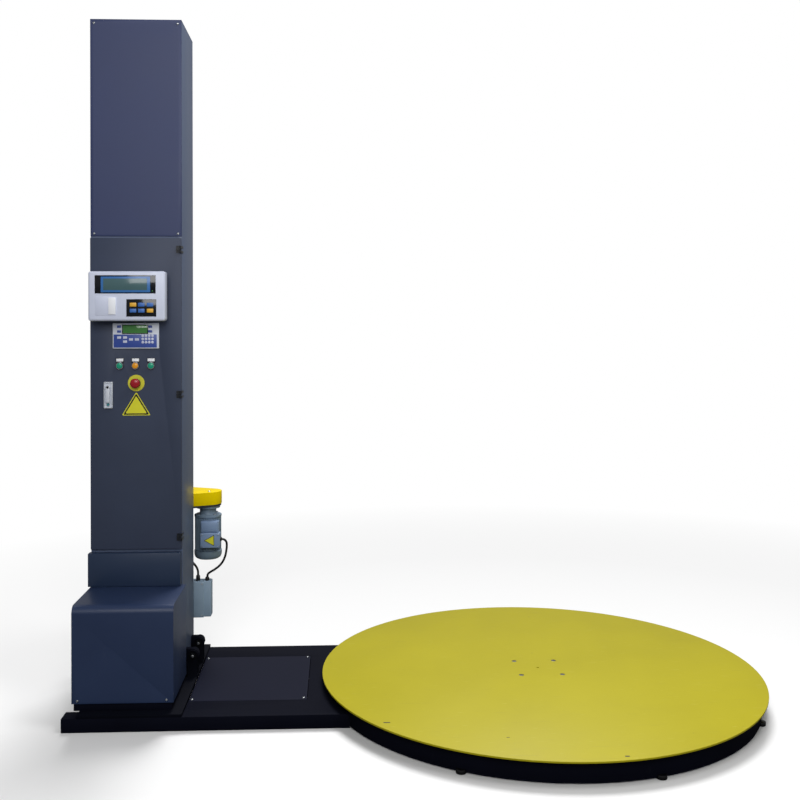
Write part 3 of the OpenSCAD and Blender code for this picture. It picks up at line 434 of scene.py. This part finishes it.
# Waxy off-white wheels that let a little light in.
nylon, tree, shader = start_material("cast_nylon", Roughness=0.5, Subsurface_Weight=0.15,
                                     Subsurface_Radius=(0.004, 0.003, 0.002))
coords = add(tree, "TexCoord").outputs["Object"]
clouded(tree, shader, coords, 180.0, 3.0, "#C9C3AC", "#E4E0D0")


def dress(node, material):
    """Gives a CAD node that keeps its own shape its finish."""
    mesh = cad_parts[node].data
    mesh.materials.clear()
    mesh.materials.append(material)


for i in range(1, 7):
    dress(f"support_roller_{i}", nylon)
for node, material in (("base_tray", black_paint), ("king_pin", ground_steel),
                       ("drive_chain", oily_steel), ("drive_sprocket", oily_steel),
                       ("turntable_hub", ground_steel), ("roller_track", ground_steel)):
    dress(node, material)

# ---- Turntable gearmotor ----
# A worm gearbox with a standing motor, bolted to the foot plate inside the housing. Its
# castings are sprayed in a mid grey-blue machine enamel, satin with fine orange peel.

motor_grey = paint("motor_grey", "#8496A4", "#677C92", 0.42, peel_mm=1.2)
dress("drive_motor", motor_grey)

# ---- Turntable plate ----
# One round 6 mm steel plate, enamelled yellow. It is scratched and dulled by pallets, with
# a few black rubber marks.

# Worn enamel: slow clouds of tone, three sets of long fine scratches, and small dark
# spots, under a low uneven gloss.
yellow_plate, tree, shader = start_material("yellow_enamel_plate", Roughness=0.45,
                                            Specular_IOR_Level=0.15)
coords = add(tree, "TexCoord").outputs["Object"]
cloud = add(tree, "TexNoise", Vector=coords, Scale=2.2, Detail=7.0, Roughness=0.62)
enamel = add(tree, "Mix", {"data_type": "RGBA"}, Factor=cloud.outputs["Fac"],
             i6=srgb("#A1970D"), i7=srgb("#B1A715")).outputs[2]
for turn, scale, strength, scratch in ((0.5, 198.0, 0.30, "#8E8628"),
                                       (2.1, 286.0, 0.35, "#CEC86A"),
                                       (1.2, 132.0, 0.22, "#8B8434")):
    slid = add(tree, "Mapping", Vector=coords, Rotation=(0, 0, turn), Scale=(0.06, 1.0, 1.0))
    streaks = add(tree, "TexNoise", Vector=slid.outputs[0], Scale=scale, Detail=2.0,
                  Roughness=0.4)
    enamel = marked(tree, enamel, streaks.outputs["Fac"], 0.70, 0.76, strength, scratch)
spots = add(tree, "TexNoise", Vector=coords, Scale=26.0, Detail=3.0)
enamel = marked(tree, enamel, spots.outputs["Fac"], 0.74, 0.80, 0.5, "#5E5A36")
tree.links.new(enamel, shader.inputs["Base Color"])
gloss = add(tree, "MapRange", Value=cloud.outputs["Fac"], To_Min=0.36, To_Max=0.58)
tree.links.new(gloss.outputs["Result"], shader.inputs["Roughness"])
grained(tree, shader, coords, 420.0, 0.08, 0.0004)
coated("turntable_steel_plate", "turntable_plate", 0.0008, yellow_plate, "turntable")

# Left, front, width and depth of each rubber mark, in metres.
SCUFFS = ((-0.615, -0.505, 0.022, 0.006), (0.106, -0.795, 0.014, 0.007),
          (-0.23, -0.64, 0.010, 0.003))
plate_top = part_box("turntable_plate")[1].z
rub_black, tree, shader = start_material("rubbed_rubber", Roughness=0.7)
coords = add(tree, "TexCoord").outputs["Object"]
clouded(tree, shader, coords, 500.0, 2.0, "#1B1A14", "#3B3A22")
scuffs = [box_mesh((x, y, plate_top - 0.001), (x + w, y + d, plate_top + 0.0003))
          for x, y, w, d in SCUFFS]
piece("rubber_scuffs", joined(scuffs), rub_black, "turntable")

# ---- Hub bolts ----
# Four M10 countersunk socket screws of darkened steel, flush with the plate, on a 155 mm
# square. They clamp the plate to the hub and read as four small grey dots.

BOLT_OUT, BOLT_R, BOLT_SINK = 0.0775, 9.4, 0.0006
bolt_places = [(x, y) for x in (-BOLT_OUT, BOLT_OUT) for y in (-BOLT_OUT, BOLT_OUT)]
bolts = [screw_head(BOLT_R, 0.6, (x, y, plate_top - BOLT_SINK), "Z", 0.35, 32)
         for x, y in bolt_places]
shanks = [turned([(0, -14), (5, -14), (5, -5), (BOLT_R, -0.5), (0, -0.5)],
                 (x, y, plate_top), "Z", 32) for x, y in bolt_places]
dark_screw_steel = metal("dark_screw_steel", "#6F7072", 0.35, stain="#4A4A4A")
piece("hub_socket_screws", joined(bolts + shanks), dark_screw_steel, "turntable",
      ["hub_bolts"])

# ---- Foot housing ----
# A folded cover of 3 mm sheet steel over the turntable gearmotor, with a large bend along
# its upper front edge, powder coated dark blue.

# A deep satin blue with a little dust, darker than the mast above it.
dark_blue = paint("dark_blue_coat", "#29395A", "#212F4E", 0.36, speck=0.04)
coated("foot_housing_cover", "foot_housing", 0.0012, dark_blue, "base")

# ---- Mast column and panels ----
# A column folded from 3 mm sheet steel with a slot down its back, closed in front by a
# screwed upper panel, the door, and a boxed lower panel. Powder coated blue-grey, except
# for the fold lugs under it, which are painted black like the base.

PANEL_SCREW_R, LUG_CLEAR = 4.5, 0.001
# Three shades of satin blue: the column palest, its upper panel bluer, the lower box dark.
blue_grey = paint("blue_grey_coat", "#384269", "#313A5D", 0.44, speck=0.04, shine=0.3)
column_grey = paint("column_coat", "#5E6B86", "#525F7D", 0.40, speck=0.06)
lower_blue = paint("lower_panel_coat", "#283650", "#203048", 0.36, speck=0.04)
coated("mast_column_sheet", "mast_column", 0.001, column_grey, "mast")
ends = softened("mast_ends", 0.001)
column_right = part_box("mast_column")[1].x
for face in ends.faces:
    face.material_index = int(face.calc_center_median().x > column_right + LUG_CLEAR)
piece("mast_end_sheets", ends, [column_grey, black_paint], "mast", ["mast_ends"])
coated("upper_panel_sheet", "upper_panel", 0.001, blue_grey, "mast")
coated("lower_panel_box", "lower_panel", 0.0008, lower_blue, "mast")
panel_low, panel_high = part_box("panel_screws")
panel_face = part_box("upper_panel")[0].y
inset = PANEL_SCREW_R * MM
screws = [screw_head(PANEL_SCREW_R, 2.5, (x, panel_face, z), "-Y")
          for x in (panel_low.x + inset, panel_high.x - inset)
          for z in (panel_low.z + inset, panel_high.z - inset)]
piece("panel_screw_heads", joined(screws), zinc, "mast", ["panel_screws"])

# ---- Inside the mast ----
# Two drawn steel guide bars, the lift gearmotor with its sprockets and roller chain, and
# the mounting plate with frequency inverters, breakers and terminals behind the door.

dress("guide_rails", ground_steel)
dress("lift_motor", motor_grey)
for node in ("lift_chain", "lift_sprocket_top", "lift_sprocket_bottom", "roller_chains",
             "motor_sprocket"):
    dress(node, oily_steel)
dress("control_gear", paint("control_gear_grey", "#C6C9CB", "#B2B5B8", 0.5, peel_mm=0.8))

# ---- Door and its hinges ----
# A folded pan of 2 mm sheet steel, powder coated, on three small black surface hinges.
# Their fixed halves are screwed to the mast on the right and the pan hangs on their pins.

# A duller, greyer coat than the panels, so the door reads as a separate sheet.
door_coat = paint("door_coat", "#40495F", "#373E50", 0.46, speck=0.04, shine=0.22)
coated("door_pan", "door_panel", 0.0008, door_coat, "door")
hinge_black = paint("hinge_black", "#161B24", "#0D1118", 0.4, peel_mm=0.8)
dress("hinge_knuckles", hinge_black)
dress("door_hinges", hinge_black)

# ---- Weighing indicator ----
# A moulded grey-white indicator on a bracket: a glossy black window with a blue framed
# display, a slip printer with its paper cover, and a black membrane with six soft keys.


def plastic(name, colour, shadow, roughness=0.35, grain_mm=0.9, grain=0.06):
    """Injection-moulded plastic with a fine spark-eroded grain."""
    material, tree, shader = start_material(name, Roughness=roughness)
    coords = add(tree, "TexCoord").outputs["Object"]
    clouded(tree, shader, coords, 24.0, 5.0, shadow, colour)
    grained(tree, shader, coords, 1000 / grain_mm, grain, 0.0002)
    return material


def box_mm(low, high, bevel, segments=2):
    """A box from corner to corner in mm, its edges rounded by so many metres."""
    return box_mesh([v * MM for v in low], [v * MM for v in high], bevel, segments)


def plate_on(face_y, x_0, x_1, z_0, z_1, proud, bevel=0.0006):
    """A thin plate on a face that looks along -Y. All in mm but the bevel."""
    return box_mm((x_0, face_y - proud, z_0), (x_1, face_y + 1, z_1), bevel)


# Pale satin mouldings against glossy black windows, with blue and yellow keys and a lit
# grey-green display as the only strong colours. Places on a panel's face are in mm from
# its left, right, top and bottom edges.
indicator_white = plastic("indicator_moulding", "#DCE2F5", "#D0D7EC", 0.4)
gloss_black = plastic("gloss_black", "#10141C", "#0A0D14", 0.12, grain=0.0)
key_blue = plastic("key_blue", "#3F74C4", "#3465B2", 0.4)
key_yellow = plastic("key_yellow", "#F0B93A", "#E0A72A", 0.4)
display_blue = plastic("display_rim_blue", "#3F7CC0", "#3068AC", 0.3)
display_green = plastic("display_grey_green", "#506F73", "#476468", 0.15, grain=0.0)
paper_white = plastic("paper_white", "#FBFCFF", "#EDF1FA", 0.6)

low, high = (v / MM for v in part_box("indicator"))
left, right, front, bottom, top = low.x, high.x, low.y, low.z, high.z
CASE_D, BRACKET_IN_X, BRACKET_IN_Z = 52, 70, 37
case = box_mm((left, front, bottom), (right, front + CASE_D, top), 0.009, 4)
bracket = box_mm((left + BRACKET_IN_X, front + CASE_D - 1, bottom + BRACKET_IN_Z),
                 (right - BRACKET_IN_X, high.y, top - BRACKET_IN_Z), 0.002)
piece("indicator_case", joined([case, bracket]), indicator_white, "door", ["indicator"])
window = plate_on(front, left + 25, left + 247, top - 82, top - 15, 1.0)
keypad = plate_on(front, left + 140, left + 249, top - 167, top - 103, 1.0)
piece("indicator_window_and_keypad", joined([window, keypad]), gloss_black, "door")
rim = plate_on(front, left + 47, left + 227, top - 78, top - 20, 1.6)
piece("indicator_display_rim", rim, display_blue, "door")
display = plate_on(front, left + 56, left + 216, top - 70, top - 27, 2.0)
piece("indicator_display", display, display_green, "door")
printer = plate_on(front, left + 27, left + 104, top - 163, top - 93, 1.0, 0.002)
printer_grey = plastic("printer_door_grey", "#D9DFF3", "#CDD4E9", 0.42)
piece("printer_door", printer, printer_grey, "door")
cover = plate_on(front, left + 75, left + 101, top - 159, top - 98, 4.0, 0.0012)
piece("paper_cover", cover, paper_white, "door")
KEY_W, KEY_H, KEY_PROUD, KEY_ROUND = 24, 14.5, 2.4, 0.0014
KEY_LEFTS, KEY_TOPS = (152.5, 182.5, 214.5), (116, 138)
yellow_keys, blue_keys = [], []
for drop, colours in zip(KEY_TOPS, ("ybb", "bby")):
    for across, colour in zip(KEY_LEFTS, colours):
        x, z = left + across, top - drop
        key = plate_on(front, x, x + KEY_W, z - KEY_H, z, KEY_PROUD, KEY_ROUND)
        (yellow_keys if colour == "y" else blue_keys).append(key)
piece("indicator_yellow_keys", joined(yellow_keys), key_yellow, "door")
piece("indicator_blue_keys", joined(blue_keys), key_blue, "door")
lamp_green = plastic("lamp_green", "#3E8C4E", "#2F7A40", 0.2, grain=0.0)
lamp_at = ((left + 235) * MM, front * MM, (top - 73) * MM)
lamp = turned([(0, 2), (1.6, 1.8), (2.2, 1.2), (2.2, 0), (0, 0)], lamp_at, "-Y", 24)
piece("indicator_lamp", lamp, lamp_green, "door")

# ---- Text panel ----
# A standard 172 by 96 mm operator panel let into the door: light bezel, green display,
# soft keys on either side of it, and a blue membrane with white keys and a number pad.

low, high = (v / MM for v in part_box("text_panel"))
left, right, front, bottom, top = low.x, high.x, low.y, low.z, high.z
BEZEL_T, TUB_IN = 7, 7
# A pale bezel with a saturated blue membrane round the one green display.
panel_light = plastic("panel_light_grey", "#DADFEA", "#CCD2E0", 0.4)
bezel = box_mm((left, front, bottom), (right, front + BEZEL_T, top), 0.0028, 3)
tub = box_mm((left + TUB_IN, front + BEZEL_T - 1, bottom + TUB_IN),
             (right - TUB_IN, high.y, top - TUB_IN), 0.001)
piece("text_panel_case", joined([bezel, tub]), panel_light, "door", ["text_panel"])
display_frame = plate_on(front, left + 35, left + 132, top - 41, top - 6, 0.6)
piece("text_panel_display_frame", display_frame, gloss_black, "door")
display = plate_on(front, left + 38, left + 129, top - 38, top - 9, 1.0)
lit_green = plastic("display_green", "#52904C", "#427E40", 0.12, grain=0.0)
piece("text_panel_display", display, lit_green, "door")
membrane_blue = plastic("membrane_blue", "#3A53A8", "#304894", 0.4)
membrane = plate_on(front, left + 4, right - 8, bottom + 4, bottom + 53, 0.6)
piece("text_panel_membrane", membrane, membrane_blue, "door")
SOFT_W, SOFT_H, PAD_PITCH = 15, 9, 12
soft_keys = [plate_on(front, x, x + SOFT_W, z - SOFT_H, z, 1.3)
             for x in (left + 17, right - 40) for z in (top - 9, top - 27)]
piece("text_panel_soft_keys", joined(soft_keys), membrane_blue, "door")
pale_keys = [plate_on(front, left + x, left + x + SOFT_W, bottom + z - SOFT_H, bottom + z, 1.2)
             for x, z in ((17, 46), (39, 46), (39, 31), (61, 39), (83, 39))]
key_profile = [(0, 1.3), (4, 1.2), (4.9, 0.6), (4.9, 0), (0, 0)]
for column in range(4):
    for row in range(3):
        x, z = left + 112 + PAD_PITCH * column, bottom + 48 - PAD_PITCH * row
        pale_keys.append(turned(key_profile, (x * MM, front * MM, z * MM), "-Y", 20))
key_pale = plastic("key_pale", "#D5DAEC", "#C4CAE0", 0.45)
piece("text_panel_pale_keys", joined(pale_keys), key_pale, "door")

# ---- Push buttons and emergency stop ----
# Standard 22 mm fittings: bright bezels with domed caps on black holders with white legend
# plates, and a red mushroom head over a yellow ring. Contact blocks sit behind the door.

door_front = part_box("door_panel")[0].y
button_nodes = ("green_button", "yellow_button", "second_green_button")
button_at = [((low.x + high.x) / 2, (low.z + high.z) / 2) for low, high in map(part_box, button_nodes)]
low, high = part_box("estop_button")
estop_at = ((low.x + high.x) / 2, (low.z + high.z) / 2)
# Bright chrome bezels with glossy green and amber caps, and one saturated red mushroom.
bezel_chrome = metal("bezel_chrome", "#E4E6EA", 0.2, stain="#BFC2C8")
BORE_R = 11.3
bezel_profile = [(BORE_R, -0.5), (14, -0.5), (14.5, 0.8), (14.5, 4.5), (13, 8), (11.6, 8),
                 (BORE_R, 6.5), (BORE_R, -0.5)]
bezels = [turned(bezel_profile, (x, door_front, z), "-Y") for x, z in button_at]
piece("button_bezels", joined(bezels), bezel_chrome, "door", ["control_fittings"])
fitting_black = plastic("fitting_black", "#1A1C21", "#121418", 0.4)
sleeve_profile = [(BORE_R, 0), (13.6, 0), (13.6, 30), (12, 42), (0, 42), (0, 19), (BORE_R, 19),
                  (BORE_R, 0)]
BLOCK_HALF_W, BLOCK_HALF_H, BLOCK_NEAR, BLOCK_FAR = 0.014, 0.020, 0.041, 0.066
blocks = []
for x, z in (*button_at, estop_at):
    blocks.append(turned(sleeve_profile, (x, door_front, z), "Y", 32))
    blocks.append(box_mesh((x - BLOCK_HALF_W, door_front + BLOCK_NEAR, z - BLOCK_HALF_H),
                           (x + BLOCK_HALF_W, door_front + BLOCK_FAR, z + BLOCK_HALF_H), 0.0012))
front = door_front / MM
holders = [plate_on(front, x / MM - 15.5, x / MM + 15.5, z / MM + 11.5, z / MM + 29, 1.4, 0.001)
           for x, z in button_at]
washer_profile = [(BORE_R, 0), (16, 0), (16, 1.2), (BORE_R, 1.2), (BORE_R, 0)]
holders += [turned(washer_profile, (x, door_front, z), "-Y") for x, z in button_at]
piece("contact_blocks_and_holders", joined(blocks + holders), fitting_black, "door")
legends = [plate_on(front, x / MM - 13, x / MM + 13, z / MM + 16, z / MM + 27, 2.0)
           for x, z in button_at]
piece("button_legend_plates", joined(legends), paper_white, "door")
cap_profile = [(0, 12), (4, 11.9), (8, 11.4), (10, 10.7), (10.9, 9.6), (10.9, -12), (0, -12)]
GREEN, AMBER = ("#18A582", "#148E70"), ("#EFA31C", "#DC9012")
for node, (x, z), colours in zip(button_nodes, button_at, (GREEN, AMBER, GREEN)):
    piece(f"{node}_cap", turned(cap_profile, (x, door_front, z), "-Y"),
          plastic(f"{node}_plastic", *colours, 0.25, grain=0.0), node, [node])
stop_place = (estop_at[0], door_front, estop_at[1])
ring = turned([(BORE_R, 0), (31, 0), (31, 1.2), (30, 2), (BORE_R, 2), (BORE_R, 0)],
              stop_place, "-Y", 64)
estop_yellow = plastic("estop_yellow", "#DCD63A", "#CCC62C", 0.4)
piece("estop_ring", ring, estop_yellow, "door")
collar = turned([(BORE_R, 1.9), (17, 1.9), (17, 4), (15, 5), (15, 13), (13.5, 14), (BORE_R, 14),
                 (BORE_R, 1.9)], stop_place, "-Y")
piece("estop_collar", collar, fitting_black, "door")
mushroom = turned([(0, 32), (7, 31.7), (12, 30.6), (15.8, 28.4), (17.6, 25.6), (18, 22.5),
                   (17.2, 20.4), (14, 19.8), (10.8, 19.6), (10.8, -12), (0, -12)],
                  stop_place, "-Y", 64)
estop_red = plastic("estop_red", "#AA1A28", "#94121E", 0.2, grain=0.0)
piece("estop_mushroom", mushroom, estop_red, "estop_button", ["estop_button"])

# ---- Plain triangle plate ----
# A thin yellow triangular plate of printed plastic with a black band and no sign on it,
# stuck to the door under the emergency stop.


def triangle(centre, width, height, scale, proud, corner, turn=0.0):
    """A flat triangle on a face that looks along -Y, about its centroid. Sizes in mm."""
    bm = bmesh.new()
    bmesh.ops.create_cone(bm, cap_ends=True, segments=3, radius1=1, radius2=1, depth=1)
    bmesh.ops.rotate(bm, verts=bm.verts, matrix=Matrix.Rotation(math.pi / 2, 3, "X"))
    peak = max(bm.verts, key=lambda v: v.co.z).co
    upright = math.atan2(peak.x, peak.z)
    bmesh.ops.rotate(bm, verts=bm.verts, matrix=Matrix.Rotation(-upright, 3, "Y"))
    posts = [e for e in bm.edges if abs(e.verts[0].co.y - e.verts[1].co.y) > 0.5]
    bmesh.ops.bevel(bm, geom=posts, offset=corner, offset_type="OFFSET", affect="EDGES",
                    segments=4, profile=0.5, material=-1)
    wide = width / math.sqrt(3) * scale * MM
    tall = height / 1.5 * scale * MM
    bmesh.ops.scale(bm, verts=bm.verts, vec=(wide, proud * MM, tall))
    bmesh.ops.rotate(bm, verts=bm.verts, matrix=Matrix.Rotation(turn, 3, "Y"))
    bmesh.ops.translate(bm, verts=bm.verts, vec=Vector(centre) - Vector((0, proud * MM / 2, 0)))
    return bm


TRI_LOW, TRI_W, TRI_H, TRI_CORNER = 1.058, 107, 88, 0.09
tri_centre = (estop_at[0], door_front, TRI_LOW + TRI_H * MM / 3)
# Lemon yellow against black, the strongest contrast on the door.
sign_yellow = plastic("sign_yellow", "#E6E232", "#D8D426", 0.35)
sign_black = plastic("sign_black", "#15161A", "#0C0D10", 0.35)
for name, scale, proud, material, slot in (
        ("triangle_plate", 1.0, 0.5, sign_yellow, "amber_plastic"),
        ("triangle_band", 0.90, 0.9, sign_black, "controls_plastic"),
        ("triangle_field", 0.74, 1.3, sign_yellow, "amber_plastic")):
    sheet = triangle(tri_centre, TRI_W, TRI_H, scale, proud, TRI_CORNER)
    piece(name, sheet, material, "door")

# ---- Door latch ----
# A die-cast cabinet latch clamped in a cut-out: an oblong dish with a folding handle, a
# lock barrel below, and a cam behind the door.

PIVOT_UP, LOCK_UP, DISH_WALL, DISH_DEEP = 0.080, 0.014, 0.004, 0.0045
# A pale, even silver colour on a plain plastic shader, not metal: painted reflection that stands in
# for the chrome's bright reflections, so the latch stands out against the dark door.
latch_silver_painted_reflection = plastic("latch_silver_painted_reflection", "#DADFE8", "#C6CCD8", 0.3, grain=0.0)
low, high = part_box("latch_body")
latch_x = (low.x + high.x) / 2
lock_at = (latch_x, door_front, low.z + LOCK_UP)
pivot = (latch_x, door_front, low.z + PIVOT_UP)
dish = box_mesh(low, (high.x, door_front + 0.0005, high.z), 0.003, 3)
face = min(dish.faces, key=lambda f: f.calc_center_median().y)
bmesh.ops.inset_region(dish, faces=[face], thickness=DISH_WALL, depth=0)
bmesh.ops.translate(dish, verts=face.verts, vec=(0, DISH_DEEP, 0))
barrel = turned([(0, 0), (9.4, 0), (9.4, 12), (0, 12)], pivot, "Y", 32)
piece("latch_dish", joined([dish, barrel]), latch_silver_painted_reflection, "door", ["latch_body"])
lock = turned([(0, 8.6), (4.2, 8.6), (5, 8), (5, 1), (0, 1)], lock_at, "-Y", 24)
lock_teal = plastic("lock_teal", "#3E8890", "#30767E", 0.3, grain=0.0)
piece("latch_lock", lock, lock_teal, "door")
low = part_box("latch_handle")[0]
GRIP_HALF, GRIP_UP, GRIP_GAP = 0.0075, 0.012, 0.0088
CAM_REACH, CAM_HALF, CAM_NEAR, CAM_FAR = 0.038, 0.007, 0.018, 0.021
grip = box_mesh((latch_x - GRIP_HALF, low.y, low.z + GRIP_UP),
                (latch_x + GRIP_HALF, door_front - GRIP_GAP, pivot[2]), 0.003, 3)
boss = turned([(0, 15), (6, 15), (8, 13.5), (8, 8.8), (7, 8.6), (7, -21), (0, -21)],
              pivot, "-Y", 32)
cam = box_mesh((latch_x - CAM_REACH, door_front + CAM_NEAR, pivot[2] - CAM_HALF),
               (latch_x, door_front + CAM_FAR, pivot[2] + CAM_HALF), 0.001)
piece("latch_grip", joined([grip, boss, cam]), latch_silver_painted_reflection, "latch_handle",
      ["latch_handle"])
cap = turned([(0, 15.6), (3.2, 15.5), (4.4, 15.0), (4.4, 14), (0, 14)], pivot, "-Y", 24)
piece("latch_pivot_cap", cap, gloss_black, "latch_handle")

# ---- Carriage frame and guard ----
# Steel plates, powder coated dark, carry the rollers. A yellow folded cover closes the
# small chains on top, held by three screws.

GUARD_SCREWS = ((-1.300, 0.362), (-1.500, 0.300), (-1.500, 0.476))
# Dusty blue-black plates under a clean, bright yellow guard.
frame_coat = paint("carriage_coat", "#2C3444", "#232A38", 0.42, speck=0.06)
for node in ("trolley", "carriage_frame"):
    coated(f"{node}_steel", node, 0.001, frame_coat, "carriage")
guard_yellow = paint("guard_yellow", "#F6DA00", "#E8CC00", 0.4, speck=0.04, shine=0.05)
coated("chain_guard_cover", "chain_guard", 0.0015, guard_yellow, "carriage", 0.002)
guard_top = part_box("chain_guard")[1].z
guard_screws = [screw_head(6, 3, (x, y, guard_top), "Z") for x, y in GUARD_SCREWS]
piece("guard_screw_heads", joined(guard_screws), zinc, "carriage")

# ---- Rollers, dancer and film spindle ----
# Two rubber-covered pre-stretch rollers, a sprung dancer arm with its aluminium roller,
# and the spindle that holds the film core. The rubber is ground and stays matt black.

roller_rubber = plastic("roller_rubber", "#232428", "#191A1D", 0.6, grain_mm=1.5, grain=0.15)
dress("stretch_roller_1", roller_rubber)
dress("stretch_roller_2", roller_rubber)
dress("dancer_arm", frame_coat)
# Pale aluminium with fine lathe lines.
aluminium = metal("turned_aluminium", "#C8CACC", 0.3, brushed_mm=0.6, stain="#A2A5A8")
dress("dancer_roller", aluminium)
dress("film_spindle", aluminium)

# ---- Carriage motor ----
# A small three-phase motor hung from the upper plate: flange and neck, finned cast body,
# pressed fan cover, and a two-part cast terminal box with its cable gland.

MOTOR_X, MOTOR_Y = -1.308, 0.388
FINS, FIN_IN, FIN_OUT, FIN_HALF, FIN_LOW = 32, 0.048, 0.0545, 0.0015, 0.040
low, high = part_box("carriage_motor")
motor_low = low.z
tall = (high.z - low.z) / MM
motor_at = (MOTOR_X, MOTOR_Y, motor_low)
fan = turned([(0, 1.5), (26, 0.5), (44, 2.5), (51.5, 7.5), (55.8, 16), (57, 28), (57, 36),
              (53, 38), (0, 38)], motor_at, "Z", 64)
core = turned([(0, 30), (49.5, 30), (49.5, tall - 45), (0, tall - 45)], motor_at, "Z", 64)
shield = turned([(0, tall - 47), (54, tall - 47), (56, tall - 45), (56, tall - 38),
                 (50, tall - 35), (0, tall - 35)], motor_at, "Z", 64)
neck = turned([(0, tall - 38), (37, tall - 36), (34, tall - 30), (34, tall - 12),
               (49, tall - 10), (50, tall - 8), (50, tall), (0, tall)], motor_at, "Z", 64)
fins = []
for i in range(FINS):
    fin = box_mesh((FIN_IN, -FIN_HALF, motor_low + FIN_LOW),
                   (FIN_OUT, FIN_HALF, motor_low + (tall - 46) * MM), 0.0007, 1)
    turn = Matrix.Rotation(math.tau * i / FINS, 3, "Z")
    bmesh.ops.rotate(fin, verts=fin.verts, matrix=turn)
    bmesh.ops.translate(fin, verts=fin.verts, vec=(MOTOR_X, MOTOR_Y, 0))
    fins.append(fin)
# The terminal box: a lower part with its lid, and a smaller upper part set back above it.
term_low = Vector((MOTOR_X - 0.021, 0.300, motor_low + 0.060))
term_high = Vector((MOTOR_X + 0.059, 0.346, motor_low + 0.121))
upper_low = Vector((term_low.x + 0.001, term_low.y + 0.012, term_high.z - 0.001))
upper_high = Vector((term_high.x - 0.007, term_high.y, term_high.z + 0.046))
lower_box = box_mesh(term_low + Vector((0.0015, 0.009, 0.0015)),
                     term_high - Vector((0.0015, -0.002, 0.0015)), 0.004, 3)
lower_lid = box_mesh(term_low, (term_high.x, term_low.y + 0.0085, term_high.z), 0.0035, 4)
upper_box = box_mesh(upper_low, upper_high + Vector((0, 0.002, 0)), 0.003, 3)
upper_lid = box_mesh(upper_low + Vector((0.004, -0.0025, 0.006)),
                     (upper_high.x - 0.004, upper_low.y + 0.001, upper_high.z - 0.004), 0.0012)
piece("carriage_motor_body", joined([fan, core, shield, neck, *fins]), motor_grey, "carriage",
      ["carriage_motor"])
# A shade bluer than the motor, so the two castings read apart.
terminal_grey = paint("terminal_box_grey", "#8AA1C2", "#768EB0", 0.4, peel_mm=1.2)
piece("terminal_box", joined([lower_box, lower_lid, upper_box, upper_lid]), terminal_grey, "carriage")
LID_SCREW_IN, SHIELD_BOLT_OUT = 0.007, 0.045
lid_screws = [screw_head(2.6, 1.4, (x, term_low.y, z), "-Y", steps=16)
              for x in (term_low.x + LID_SCREW_IN, term_high.x - LID_SCREW_IN)
              for z in (term_low.z + LID_SCREW_IN, term_high.z - LID_SCREW_IN)]
shield_bolts = []
for i in range(4):
    turn = math.radians(45 + 90 * i)
    at = (MOTOR_X + SHIELD_BOLT_OUT * math.cos(turn), MOTOR_Y + SHIELD_BOLT_OUT * math.sin(turn),
          motor_low + (tall - 36) * MM)
    shield_bolts.append(turned([(0, 0), (5, 0), (5, 4), (4.4, 4.6), (0, 4.6)], at, "Z", 6))
piece("motor_screws", joined(lid_screws + shield_bolts), zinc, "carriage")
tri_centre = (term_low.x + 0.043, term_low.y, term_low.z + 0.031)
for name, scale, proud, material, slot in (
        ("terminal_triangle", 1.0, 0.5, sign_black, "controls_plastic"),
        ("terminal_triangle_field", 0.84, 0.7, sign_yellow, "amber_plastic")):
    sheet = triangle(tri_centre, 46, 42, scale, proud, 0.07, -math.pi / 2)
    piece(name, sheet, material, "carriage")


def gland(at, axis, length):
    """A black nylon compression gland: hexagon, domed nut, and the lip that grips the flex."""
    hexagon = turned([(0, 0), (9, 0), (9, length * 0.4), (0, length * 0.4)], at, axis, 6)
    nut = turned([(0, length * 0.4), (8.4, length * 0.4), (8.4, length * 0.7),
                  (7.2, length * 0.92), (5.2, length), (0, length)], at, axis, 24)
    return joined([hexagon, nut])


box_low, box_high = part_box("junction_box")
BOX_TOP = 0.348
motor_start, motor_end = Vector(MOTOR_CABLE[0]) * MM, Vector(MOTOR_CABLE[-1]) * MM
sensor_start = Vector(SENSOR_CABLE[0]) * MM
glands = [gland((term_high.x, motor_start.y, motor_start.z), "X",
                (motor_start.x - term_high.x) / MM)]
glands += [gland((end.x, end.y, BOX_TOP), "Z", (end.z - BOX_TOP) / MM)
           for end in (motor_end, sensor_start)]
piece("cable_glands", joined(glands), rubber_black, "carriage")

# ---- Junction box ----
# A light grey moulded terminal enclosure bolted to the back plate: a deep body and a
# narrower lid in front, held by four screws.

BOX_FRONT, LID_T, LID_IN = 0.300, 0.012, 0.028
FOOT_FRONT, FOOT_RIGHT, FOOT_IN = 0.292, -1.358, 0.020
# A cool, matt light grey with a fine moulded grain.
enclosure_grey = plastic("enclosure_grey", "#97AEC3", "#889EB3", 0.5)
body = box_mesh((box_low.x, BOX_FRONT + LID_T - 0.001, box_low.z),
                (box_high.x, box_high.y, BOX_TOP), 0.005, 3)
lid = box_mesh((box_low.x, BOX_FRONT, box_low.z),
               (box_high.x - LID_IN, BOX_FRONT + LID_T, BOX_TOP), 0.004, 3)
foot = box_mesh((box_low.x, FOOT_FRONT, box_low.z + FOOT_IN),
                (FOOT_RIGHT, BOX_FRONT + 0.002, BOX_TOP - FOOT_IN), 0.001)
piece("junction_enclosure", joined([body, lid, foot]), enclosure_grey, "carriage",
      ["junction_box"])
lid_screws = [screw_head(3, 1.6, (x, BOX_FRONT, z), "-Y", steps=16)
              for x in (box_low.x + 0.010, box_high.x - LID_IN - 0.008)
              for z in (box_low.z + 0.009, BOX_TOP - 0.009)]
piece("junction_lid_screws", joined(lid_screws), zinc, "carriage")
